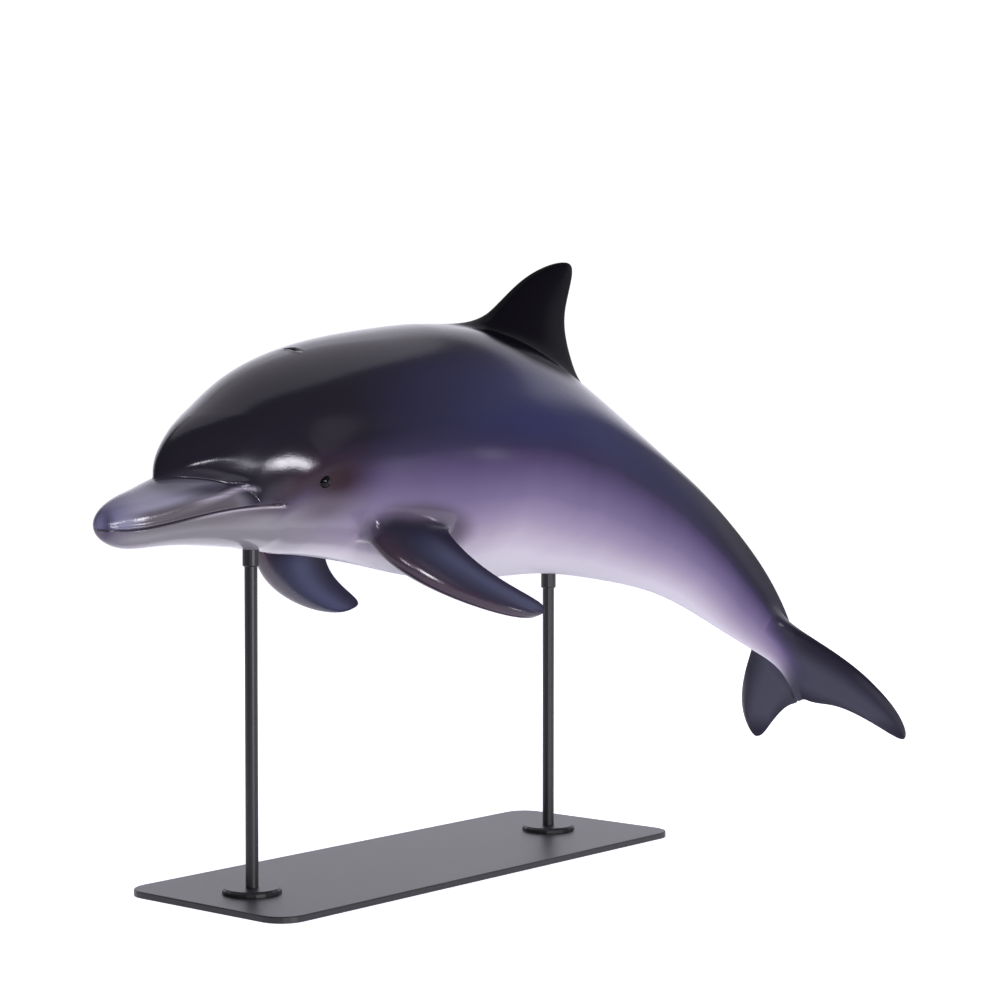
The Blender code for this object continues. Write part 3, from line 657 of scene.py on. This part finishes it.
def jaw_masks(along, over, turn):
    """Under the mouth line: the whole jaw and throat, painted shade along its side, and the chin."""
    under = 1 - ease(over, *UNDER_MOUTH)
    jaw = np.maximum(under * (1 - ease(along, *CORNER_PAST)), ease(turn, *THROAT_TURN))
    return {"jaw": jaw * (1 - ease(along, *JAW_PAST)),
            "jaw_painted_shade": under * hump(turn, *JAW_SHADE) * (1 - ease(along, *JAW_SHADE_PAST)),
            "chin": under * (1 - ease(along, *CHIN_PAST))}


OVER_MOUTH, BEAK_PAST, BEAK_BEFORE = (-0.001, 0.003), (0.24, 0.30), 0.002
BEAK_SOFT, CHEEK_SOFT, CHEEK_TURN = 0.005, 0.050, (60, 80)
SHADE_BEFORE, SHADE_START, SHADE_TURN = (-0.150, -0.050), (0.09, 0.14), (46, 60)
SHADE_TOP, SHADE_SIDE = 0.62, 0.33
CREASE_SHADE, SHADE_STOP, SHADE_PAST = (-0.022, -0.003), (0.0, 0.004), (64, 80)
BEAK_SIDE_TURN, BEAK_SIDE_START = (62, 80), (0.03, 0.08)
# The dark band round the nose tip is painted shade.
NOSE_TIP_PAST, TIP_SHADE_BAND, TIP_SHADE_BAND_TURN = (0.010, 0.075), (0.0135, 0.0075), (100, 70)


def beak_masks(along, over, turn):
    """Over the mouth line: the upper beak as far as the crease, the painted shade that deepens towards
    the crease, the beak's darker side, its tip, and a painted shade as a dark band round the tip."""
    before = along - crease(np.radians(turn))
    soft = BEAK_SOFT + CHEEK_SOFT * ease(turn, *CHEEK_TURN)
    beak = (1 - ease(before, -soft, BEAK_BEFORE)) * ease(over, *OVER_MOUTH) * (1 - ease(along, *BEAK_PAST))
    deep = SHADE_TOP + SHADE_SIDE * ease(turn, *SHADE_TURN)
    shade = np.maximum(deep * ease(before, *SHADE_BEFORE) * ease(along, *SHADE_START),
                       ease(before, *CREASE_SHADE))
    return {"beak": beak,
            "beak_shade": shade * (1 - ease(before, *SHADE_STOP)) * (1 - ease(turn, *SHADE_PAST)),
            "beak_side": beak * ease(turn, *BEAK_SIDE_TURN) * ease(along, *BEAK_SIDE_START),
            "tip": (1 - ease(along, *NOSE_TIP_PAST)) * ease(over, *UNDER_MOUTH),
            "tip_shade_band": hump(along, *TIP_SHADE_BAND) * hump(turn, *TIP_SHADE_BAND_TURN)}


# The light band on the lip's roll and the light line under the groove are painted highlights; the groove's
# dark paint is partly painted shade.
LIP_ROLL_HIGHLIGHT, ROLL_HIGHLIGHT_START, ROLL_HIGHLIGHT_PAST = (0.0005, 0.0034), (0.150, 0.200), (0.284, 0.298)
LIP_GROOVE, LIP_GROOVE_PAST = (-0.0005, 0.0022), (0.330, 0.346)
LIP_HIGHLIGHT, LIP_HIGHLIGHT_START, LIP_HIGHLIGHT_PAST = (-0.0040, 0.0014), (0.13, 0.22), (0.328, 0.340)
EYE_PATCHES = [(1.1, (0.430, 101), (0.072, 15)), (0.95, (0.370, 94), (0.066, 12))]
# The corner's patch is a painted shadow under the mouth's corner; the throat's is plum paint.
CORNER_SHADOW, THROAT_PATCH = ((0.300, -0.010), (0.070, 0.009)), ((0.410, 120), (0.052, 9))
PLUM_AND_SHADOW = 0.8


def face_masks(along, up, over, turn, kind):
    """Painted highlights along the lip's roll and in a light line on the lower bead, dark paint in
    the groove that is partly painted shade, the maroon round the eye, and plum on the throat with
    a painted shadow under the mouth's corner."""
    pale = ease(along, *ROLL_HIGHLIGHT_START) * (1 - ease(along, *ROLL_HIGHLIGHT_PAST)) * (kind == BODY)
    line = ease(along, *LIP_HIGHLIGHT_START) * (1 - ease(along, *LIP_HIGHLIGHT_PAST))
    near, far = (share * soft_spot(along, turn, *patch) for share, *patch in EYE_PATCHES)
    plum_and_shadow = np.maximum(soft_spot(along, over, *CORNER_SHADOW), soft_spot(along, turn, *THROAT_PATCH))
    return {"lip_roll_highlight": pale * hump(up - lip_height(along), *LIP_ROLL_HIGHLIGHT),
            "lip": hump(over, *LIP_GROOVE) * (1 - ease(along, *LIP_GROOVE_PAST)),
            "lip_highlight_line": line * hump(over, *LIP_HIGHLIGHT),
            "maroon": np.maximum(near, far),
            "plum_and_shadow": PLUM_AND_SHADOW * plum_and_shadow}


ROOT, ROOT_REACH, ROOT_POWER, ROOT_EDGE = (0.630, 134.0), (0.102, 9.6), 4, (0.90, 1.22)
SHADOW, SHADOW_REACH, SHADOW_EDGE = (0.660, 132), (0.145, 16), (0.70, 1.25)
BLADE_START, LEADING, BLADE_FROM = (0.03, 0.07), (0.02, 0.22), 0.051
MIDDLE_CHORD, MIDDLE_START, MIDDLE_PAST = (0.52, 0.26), (0.02, 0.25), (0.74, 0.96)
SADDLE, SADDLE_REACH, SADDLE_POWER, SADDLE_EDGE = (1.060, 0.0), (0.145, 44.0), 2.6, (0.84, 1.08)
DORSAL_START = (0.04, 0.17)
FLUKE_START, TAIL_END = (0.0, 0.16), (2.20, 2.36)
FLUKE_LEADING, FLUKE_TRAILING, TRAILING_SHARE = (0.02, 0.44), (0.74, 1.0), 0.8
FLUKE_TIP, UPPER_FACE, UPPER_START = (0.72, 0.95), (-0.5, 0.5), (0.0, 0.12)


def oval(along, turn, middle, reach, power):
    """Distance from a middle in shares of the reach each way, by a superellipse's power."""
    return (np.abs((along - middle[0]) / reach[0]) ** power
            + np.abs((turn - middle[1]) / reach[1]) ** power) ** (1 / power)


def fin_masks(along, turn, kind, span, chord, face):
    """Flippers with their roots and the shadow round them, the dorsal fin with a saddle at its
    foot, and flukes with dark edges, tips and upper face."""
    flipper, fluke = np.isin(kind, FLIPPERS), np.isin(kind, FLUKES)
    near_root = 1 - ease(oval(along, turn, ROOT, ROOT_REACH, ROOT_POWER), *ROOT_EDGE)
    blade = flipper * ease(span, *BLADE_START)
    middle = hump(chord, *MIDDLE_CHORD) * ease(span, *MIDDLE_START) * (1 - ease(span, *MIDDLE_PAST))
    saddle = 1 - ease(oval(along, turn, SADDLE, SADDLE_REACH, SADDLE_POWER), *SADDLE_EDGE)
    whole = np.maximum(fluke * ease(span, *FLUKE_START), ease(along, *TAIL_END))
    edge = np.maximum(1 - ease(chord, *FLUKE_LEADING), TRAILING_SHARE * ease(chord, *FLUKE_TRAILING))
    return {"root_shade": 1 - ease(oval(along, turn, SHADOW, SHADOW_REACH, 2), *SHADOW_EDGE),
            "flipper": np.where(flipper & (span > BLADE_FROM), 1, near_root),
            "flipper_edge": blade * (1 - ease(chord, *LEADING)),
            "flipper_middle": blade * middle,
            "dorsal": np.maximum((kind == DORSAL) * ease(span, *DORSAL_START), saddle),
            "fluke": whole,
            "fluke_edge": fluke * whole * np.maximum(edge, ease(span, *FLUKE_TIP)),
            "upper": fluke * (1 - ease(face, *UPPER_FACE)) * ease(span, *UPPER_START)}


SATIN_TURN, SATIN_FROM = [24, 36, 48, 60, 72, 84, 96], [1.75, 1.62, 1.42, 1.15, 0.92, 0.72, 0.66]
SATIN_RUN, SATIN, SATIN_EYE = (-0.22, 0.12), 0.88, ((0.47, 100), (0.11, 17))
FLIPPER_SATIN = (0.18, 0.42)
FLUKE_GLOSS, GLOSS_CHORD, GLOSS_SPAN = 0.7, (0.06, 0.18), (0.45, 0.70)
TAIL_GLOSS, TAIL_SPOT = 0.7, ((2.17, 84), (0.05, 12))


def gloss_mask(along, turn, dorsal, kind, span, chord):
    """Share of gloss coat: full on head and back, satin from the flank on, round the eye and on
    the fins, and glossy again on a spot of the tail stock and on flippers' and flukes' edges."""
    flipper, fluke = np.isin(kind, FLIPPERS), np.isin(kind, FLUKES)
    satin = np.maximum(ease(along - np.interp(turn, SATIN_TURN, SATIN_FROM), *SATIN_RUN), dorsal)
    satin = np.where(flipper, ease(chord, *FLIPPER_SATIN) * ease(span, *BLADE_START), satin)
    satin = np.maximum(satin, soft_spot(along, turn, *SATIN_EYE))
    leading = (1 - ease(chord, *GLOSS_CHORD)) * ease(span, *GLOSS_SPAN)
    satin = np.where(fluke, 1 - FLUKE_GLOSS * leading, satin)
    return 1 - SATIN * satin + TAIL_GLOSS * soft_spot(along, turn, *TAIL_SPOT)


def paint_masks(points, turn, on_fin):
    """One value for each vertex and colour, from eased steps and bell curves of its place."""
    along, up = points[:, 0], points[:, 2]
    kind, span, chord, face = on_fin.T
    over = up - mouth_height(along)
    masks = side_masks(along, turn) | jaw_masks(along, over, turn) | beak_masks(along, over, turn)
    masks |= face_masks(along, up, over, turn, kind)
    masks |= fin_masks(along, turn, kind, span, chord, face)
    masks["gloss"] = gloss_mask(along, turn, masks["dorsal"], kind, span, chord)
    return masks


def mix(nodes, links, factor, first, second):
    """Colour mix node: first where factor is 0, second where it is 1."""
    node = nodes.new("ShaderNodeMix")
    node.data_type = "RGBA"
    links.new(factor, node.inputs["Factor"])
    for value, socket in ((first, node.inputs["A"]), (second, node.inputs["B"])):
        if isinstance(value, tuple):
            socket.default_value = (*value, 1)
        else:
            links.new(value, socket)
    return node.outputs["Result"]


def maths(nodes, links, operation, first, second):
    """Arithmetic on two sockets or numbers."""
    node = nodes.new("ShaderNodeMath")
    node.operation = operation
    for value, socket in ((first, node.inputs[0]), (second, node.inputs[1])):
        if isinstance(value, (int, float)):
            socket.default_value = value
        else:
            links.new(value, socket)
    return node.outputs[0]


def noise(nodes, links, coordinates, scale, detail, roughness=0.5):
    """Noise texture's value on given coordinates."""
    node = nodes.new("ShaderNodeTexNoise")
    node.inputs["Scale"].default_value = scale
    node.inputs["Detail"].default_value = detail
    node.inputs["Roughness"].default_value = roughness
    links.new(coordinates, node.inputs["Vector"])
    return node.outputs["Fac"]


DARK, BLUE = (0.0125, 0.0105, 0.020), (0.036, 0.038, 0.100)
SIDE_TONES = [(0.0, (0.036, 0.030, 0.066)), (0.19, (0.040, 0.033, 0.074)), (0.31, (0.093, 0.071, 0.152)),
              (0.47, (0.173, 0.141, 0.248)), (0.62, (0.300, 0.256, 0.364)), (0.75, (0.446, 0.402, 0.484)),
              (0.88, (0.585, 0.552, 0.615)), (1.0, (0.605, 0.588, 0.635))]
COATS = [("jaw", (0.255, 0.245, 0.268), 1.0),
         # Painted shade in a band along the jaw under the mouth line.
         ("jaw_painted_shade", (0.125, 0.118, 0.128), 0.8),
         ("beak", (0.360, 0.350, 0.450), 1.0),
         ("beak_side", (0.105, 0.094, 0.104), 0.95),
         ("beak_shade", (0.024, 0.020, 0.036), 0.92),
         ("tip", (0.170, 0.170, 0.300), 0.85),
         ("chin", (0.105, 0.088, 0.142), 0.8),
         # Painted highlight along the upper lip's roll.
         ("lip_roll_highlight", (0.440, 0.405, 0.480), 0.8),
         # Painted shade: a dark band round the nose tip.
         ("tip_shade_band", (0.030, 0.022, 0.070), 0.8),
         ("maroon", (0.034, 0.018, 0.025), 1.0),
         # Plum paint on the throat, and a painted shadow under the mouth's corner.
         ("plum_and_shadow", (0.075, 0.055, 0.080), 0.9),
         # Dark paint in the mouth's groove, partly painted shade.
         ("lip", (0.020, 0.014, 0.020), 0.9),
         # Painted highlight: a light line along the lower lip's bead.
         ("lip_highlight_line", (0.600, 0.560, 0.640), 0.9),
         ("root_shade", (0.075, 0.060, 0.088), 0.8),
         ("flipper", (0.020, 0.018, 0.036), 1.0),
         ("flipper_middle", (0.078, 0.084, 0.150), 0.9),
         ("flipper_edge", (0.050, 0.030, 0.048), 0.8),
         ("fluke", (0.052, 0.053, 0.076), 1.0),
         ("fluke_edge", (0.014, 0.012, 0.022), 0.92),
         ("upper", DARK, 0.9),
         ("dorsal", (0.0055, 0.0050, 0.0075), 1.0)]
CLOUD_DRIFT, MOTTLE_DRIFT, TONE_DRIFT, MAROON_DRIFT = 0.20, 0.05, 0.45, 1.0
BACK_AT, BACK_SHARP = 0.06, 4.0


def dolphin_paint():
    """Clear-coated air-brush paint: the side's tones, drifting with soft noise, then each coat laid
    over the last by its share where its mask says, painted shade and highlights among them, under a
    gloss coat with a slight orange peel."""
    material = bpy.data.materials.new("dolphin_paint")
    material.use_nodes = True
    nodes, links = material.node_tree.nodes, material.node_tree.links
    shader = nodes["Principled BSDF"]
    spot = nodes.new("ShaderNodeTexCoord").outputs["Object"]

    def mask(name):
        node = nodes.new("ShaderNodeAttribute")
        node.attribute_name = name
        return node.outputs["Fac"]

    cloud = maths(nodes, links, "SUBTRACT", noise(nodes, links, spot, 5.0, 3.0), 0.5)
    mottle = maths(nodes, links, "SUBTRACT", noise(nodes, links, spot, 26.0, 4.0, 0.6), 0.5)
    drift = maths(nodes, links, "ADD", maths(nodes, links, "MULTIPLY", cloud, CLOUD_DRIFT),
                  maths(nodes, links, "MULTIPLY", mottle, MOTTLE_DRIFT))
    ramp = nodes.new("ShaderNodeValToRGB")
    stops = ramp.color_ramp.elements
    while len(stops) < len(SIDE_TONES):
        stops.new(0.5)
    for stop, (at, colour) in zip(stops, SIDE_TONES):
        stop.position = at
        stop.color = (*colour, 1)
    tone = maths(nodes, links, "DIVIDE", maths(nodes, links, "ADD", mask("tone"), TONE_PAST),
                 1 + 2 * TONE_PAST)
    tone = maths(nodes, links, "ADD", tone, maths(nodes, links, "MULTIPLY", drift, TONE_DRIFT))
    links.new(tone, ramp.inputs["Fac"])
    above = maths(nodes, links, "SUBTRACT", BACK_AT, mask("tone"))
    above = maths(nodes, links, "MULTIPLY", above, BACK_SHARP)
    back = nodes.new("ShaderNodeClamp")
    links.new(above, back.inputs["Value"])
    dark = mix(nodes, links, maths(nodes, links, "ADD", mask("blue"), drift), DARK, BLUE)
    colour = mix(nodes, links, back.outputs[0], ramp.outputs["Color"], dark)

    for name, over, share in COATS:
        factor = maths(nodes, links, "MULTIPLY", mask(name), share)
        if name == "maroon":
            uneven = maths(nodes, links, "ADD", 1.0, maths(nodes, links, "MULTIPLY", drift, MAROON_DRIFT))
            factor = maths(nodes, links, "MULTIPLY", factor, uneven)
        clamp = nodes.new("ShaderNodeClamp")
        links.new(factor, clamp.inputs["Value"])
        colour = mix(nodes, links, clamp.outputs[0], colour, over)
    links.new(colour, shader.inputs["Base Color"])

    rough = nodes.new("ShaderNodeMapRange")
    rough.inputs["To Min"].default_value = 0.36
    rough.inputs["To Max"].default_value = 0.50
    links.new(noise(nodes, links, spot, 40.0, 3.0), rough.inputs["Value"])
    links.new(rough.outputs["Result"], shader.inputs["Roughness"])
    shader.inputs["Specular IOR Level"].default_value = 0.0
    links.new(mask("gloss"), shader.inputs["Coat Weight"])
    shader.inputs["Coat Roughness"].default_value = 0.18
    shader.inputs["Coat IOR"].default_value = 1.45
    peel = nodes.new("ShaderNodeBump")
    peel.inputs["Strength"].default_value = 0.24
    peel.inputs["Distance"].default_value = 0.0006
    links.new(noise(nodes, links, spot, 260.0, 2.0), peel.inputs["Height"])
    links.new(peel.outputs["Normal"], shader.inputs["Coat Normal"])
    fine = nodes.new("ShaderNodeBump")
    fine.inputs["Strength"].default_value = 0.12
    fine.inputs["Distance"].default_value = 0.0008
    links.new(noise(nodes, links, spot, 420.0, 3.0), fine.inputs["Height"])
    links.new(fine.outputs["Normal"], shader.inputs["Normal"])
    return material


turn = round_body(straight, angle)
for name, values in paint_masks(straight, turn, on_fin).items():
    skin.data.attributes.new(name, "FLOAT", "POINT").data.foreach_set("value", values.astype(np.float32))
skin.data.materials.append(dolphin_paint())

# ---- Eyes: glass domes set in the lids, black at a glance, with a brown iris round a crescent
# pupil. Each is a ball whose pole looks outwards, sunk so that only its dome shows.

BALL_RINGS, BALL_LINES = 41, 64
NEARBY = 1e-3
IRIS, IRIS_SOFT = 0.62, 0.12
PUPIL_WIDE, PUPIL_TALL, PUPIL_CURVE, PUPIL_EDGE = 0.30, 0.14, 0.9, (0.9, 1.1)
BLACK_GLASS, BROWN_GLASS = (0.0015, 0.0015, 0.002), (0.0045, 0.0022, 0.0016)


def eyeball(name, mirror):
    """Ball as a grid: rings of cosine and sine of the angle from the pole, in the frame of the
    surface's normal, the spine's direction and the line across both. Pole points close it."""
    spot = np.array([[EYE_AT, EYE_ANGLE], [EYE_AT + NEARBY, EYE_ANGLE], [EYE_AT, EYE_ANGLE + NEARBY]])
    side, up = section(spot[:, 0], spot[:, 1])
    middle, ahead, down = place(np.stack([spot[:, 0], side * mirror, up], -1))
    ahead, down = ahead - middle, down - middle
    normal = np.cross(down, ahead) * mirror
    ahead, normal = ahead / np.linalg.norm(ahead), normal / np.linalg.norm(normal)
    across = np.cross(normal, ahead)
    around = np.arange(BALL_LINES) * 2 * np.pi / BALL_LINES
    polar, turn = np.meshgrid(np.linspace(0, np.pi, BALL_RINGS)[1:-1], around, indexing="ij")
    local = np.stack([np.sin(polar) * np.cos(turn), np.sin(polar) * np.sin(turn), np.cos(polar)], -1)
    local = np.concatenate([local.reshape(-1, 3), [[0, 0, 1], [0, 0, -1]]]) * EYE_RADIUS
    centre = middle + normal * (EYE_PROUD - EYE_RADIUS)
    points = centre + local @ np.stack([ahead, across, normal])
    loops = np.arange(polar.size).reshape(polar.shape)
    quads = np.concatenate([band_faces(b, a) for a, b in zip(loops[:-1], loops[1:])])
    first, last = loops[0], loops[-1]
    caps = np.concatenate([np.stack([first, np.roll(first, -1), 0 * first + polar.size], -1),
                           np.stack([np.roll(last, -1), last, 0 * last + polar.size + 1], -1)])
    ball = solid_mesh(name, points, quads, caps)
    x, y, z = local.T / EYE_RADIUS
    pupil = np.hypot(x / PUPIL_WIDE, (y + PUPIL_CURVE * x ** 2) / PUPIL_TALL)
    iris = ease(pupil, *PUPIL_EDGE) * (1 - ease(np.hypot(x, y), IRIS - IRIS_SOFT, IRIS)) * (z > 0)
    ball.data.attributes.new("iris", "FLOAT", "POINT").data.foreach_set("value", iris.astype(np.float32))
    return ball


glass = bpy.data.materials.new("eye_glass")
glass.use_nodes = True
nodes, links = glass.node_tree.nodes, glass.node_tree.links
iris_mask = nodes.new("ShaderNodeAttribute")
iris_mask.attribute_name = "iris"
links.new(mix(nodes, links, iris_mask.outputs["Fac"], BLACK_GLASS, BROWN_GLASS),
          nodes["Principled BSDF"].inputs["Base Color"])
nodes["Principled BSDF"].inputs["Roughness"].default_value = 0.04
nodes["Principled BSDF"].inputs["Specular IOR Level"].default_value = 0.2
for which, mirror in (("left", 1), ("right", -1)):
    ball = eyeball("eyeball_" + which, mirror)
    ball.data.materials.append(glass)
    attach(ball, "root")
    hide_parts("eye_" + which)

# ---- Stand: a plain display stand of steel under a satin black powder coat, on which the two
# rods carry the shell. The CAD's own pieces are kept and only given the coat's fine grain.

STAND = ["stand_base"] + [f"stand_{piece}_{end}" for piece in ("flange", "rod", "sleeve")
                          for end in ("front", "rear")]
coat = bpy.data.materials.new("powder_coat")
coat.use_nodes = True
nodes, links = coat.node_tree.nodes, coat.node_tree.links
coat_place = nodes.new("ShaderNodeTexCoord").outputs["Object"]
nodes["Principled BSDF"].inputs["Base Color"].default_value = (0.012, 0.012, 0.013, 1)
nodes["Principled BSDF"].inputs["Roughness"].default_value = 0.42
grain = nodes.new("ShaderNodeBump")
grain.inputs["Strength"].default_value = 0.25
grain.inputs["Distance"].default_value = 0.0003
links.new(noise(nodes, links, coat_place, 900.0, 2.0), grain.inputs["Height"])
links.new(grain.outputs["Normal"], nodes["Principled BSDF"].inputs["Normal"])
for name in STAND:
    for slot in bpy.data.objects[name].material_slots:
        slot.material = coat

# ---- Studio: stage only. A plain white floor runs out all round under a white surround. A glowing
# paper cove behind the model shows in its coat alone. So do the soft lamps on its left, which make
# the highlights, and a broad panel hangs overhead.

CAMERA_AT, CAMERA_TURN, CAMERA_DIP = (-3.437, -3.098, 0.881), math.radians(50), math.radians(2)
LENS, FILM = 84.6, 36

# Each lamp has a name, a place, a point that it looks at, a width, a height and its watts.
LAMPS = [("softbox", (-0.88, -4.05, 0.45), (-0.2, 0.0, 0.80), 0.78, 1.0, 62.0),
         ("second", (-2.45, -3.75, 0.60), (-0.3, 0.0, 0.80), 0.7, 0.7, 28.0),
         ("third", (1.0, -4.0, 2.45), (-0.4, 0.0, 0.85), 1.8, 1.8, 3.5),
         ("rear", (3.9, -4.0, 0.60), (1.2, 0.0, 0.40), 0.6, 0.6, 14.0),
         ("strip", (-1.10, -3.95, 0.55), (-0.3, 0.0, 0.80), 2.3, 0.14, 6.5),
         ("overhead", (0.6, 1.2, 4.0), (0.6, 1.2, 0.0), 4.6, 4.6, 37.0)]
PAPER_GLOW, FLOOR_GLOW = 0.74, 0.95
FLOOR_HALF = 9.0
COVE_DROP, COVE_BENDS = 0.002, 25
WORLD_GLOW, SURROUND_GLOW = 0.20, 1.05
LAMP_TINT, WORLD_TINT, WHITE = (0.95, 0.92, 1.0), (0.95, 0.90, 1.0), (1.0, 1.0, 1.0)

camera = bpy.data.cameras.new("camera")
camera.lens = LENS
camera.sensor_width = FILM
viewer = bpy.data.objects.new("camera", camera)
forward = Vector((math.sin(CAMERA_TURN) * math.cos(CAMERA_DIP),
                  math.cos(CAMERA_TURN) * math.cos(CAMERA_DIP), -math.sin(CAMERA_DIP)))
viewer.rotation_euler = forward.to_track_quat("-Z", "Y").to_euler()
viewer.location = CAMERA_AT
bpy.context.scene.collection.objects.link(viewer)
bpy.context.scene.camera = viewer


def sweep(width, front, back, radius, height):
    """Studio cove: a floor, a quarter circle and a wall, as one strip across the view."""
    bend = np.radians(np.linspace(0, 90, COVE_BENDS))
    depth = np.concatenate([[-front], back + radius * np.sin(bend), [back + radius]])
    rise = np.concatenate([[0], radius * (1 - np.cos(bend)), [height]])
    across, deep = np.meshgrid([-width / 2, width / 2], depth, indexing="ij")
    rise = np.broadcast_to(rise, across.shape)
    ahead = np.array([forward.x, forward.y, 0]) / math.hypot(forward.x, forward.y)
    right = np.array([ahead[1], -ahead[0], 0])
    points = (across[..., None] * right + deep[..., None] * ahead
              + (rise[..., None] - COVE_DROP) * np.array([0, 0, 1])).reshape(-1, 3)
    count = len(depth)
    first = np.arange(count - 1)
    faces = np.stack([first, first + 1, first + 1 + count, first + count], -1)[:, ::-1]
    mesh = bpy.data.meshes.new("cove")
    mesh.from_pydata(points.tolist(), [], faces.tolist())
    mesh.polygons.foreach_set("use_smooth", [True] * len(faces))
    return mesh


cove = bpy.data.objects.new("cove", sweep(width=16, front=1.5, back=2.6, radius=1.6, height=5))
cove.visible_camera = False
corners = np.array([[-1, -1, 0], [1, -1, 0], [1, 1, 0], [-1, 1, 0]]) * FLOOR_HALF
floor_mesh = bpy.data.meshes.new("floor")
floor_mesh.from_pydata(corners.tolist(), [], [[0, 1, 2, 3]])
floor = bpy.data.objects.new("floor", floor_mesh)
floor.visible_glossy = False
floor.visible_diffuse = False
floor.visible_shadow = False
for piece, glow in ((cove, PAPER_GLOW), (floor, FLOOR_GLOW)):
    paper = bpy.data.materials.new(piece.name + "_paper")
    paper.use_nodes = True
    coating = paper.node_tree.nodes["Principled BSDF"]
    coating.inputs["Base Color"].default_value = (0.86, 0.86, 0.87, 1)
    coating.inputs["Roughness"].default_value = 0.9
    coating.inputs["Specular IOR Level"].default_value = 0.1
    coating.inputs["Emission Color"].default_value = (0.91, 0.90, 1, 1)
    coating.inputs["Emission Strength"].default_value = glow
    piece.data.materials.append(paper)
    bpy.context.scene.collection.objects.link(piece)

for name, at, aim, width, height, power in LAMPS:
    lamp = bpy.data.lights.new(name, "AREA")
    lamp.shape = "ELLIPSE"
    lamp.size = width
    lamp.size_y = height
    lamp.energy = power
    lamp.color = LAMP_TINT
    holder = bpy.data.objects.new(name, lamp)
    holder.location = at
    holder.rotation_euler = (Vector(aim) - Vector(at)).to_track_quat("-Z", "Y").to_euler()
    holder.visible_camera = False
    bpy.context.scene.collection.objects.link(holder)

world = bpy.data.worlds.new("world")
world.use_nodes = True
nodes, links = world.node_tree.nodes, world.node_tree.links
seen = nodes.new("ShaderNodeLightPath").outputs["Is Camera Ray"]
links.new(mix(nodes, links, seen, WORLD_TINT, WHITE), nodes["Background"].inputs["Color"])
strength = maths(nodes, links, "MULTIPLY_ADD", seen, SURROUND_GLOW - WORLD_GLOW)
strength.node.inputs[2].default_value = WORLD_GLOW
links.new(strength, nodes["Background"].inputs["Strength"])
bpy.context.scene.world = world
bpy.context.scene.view_settings.view_transform = "Standard"
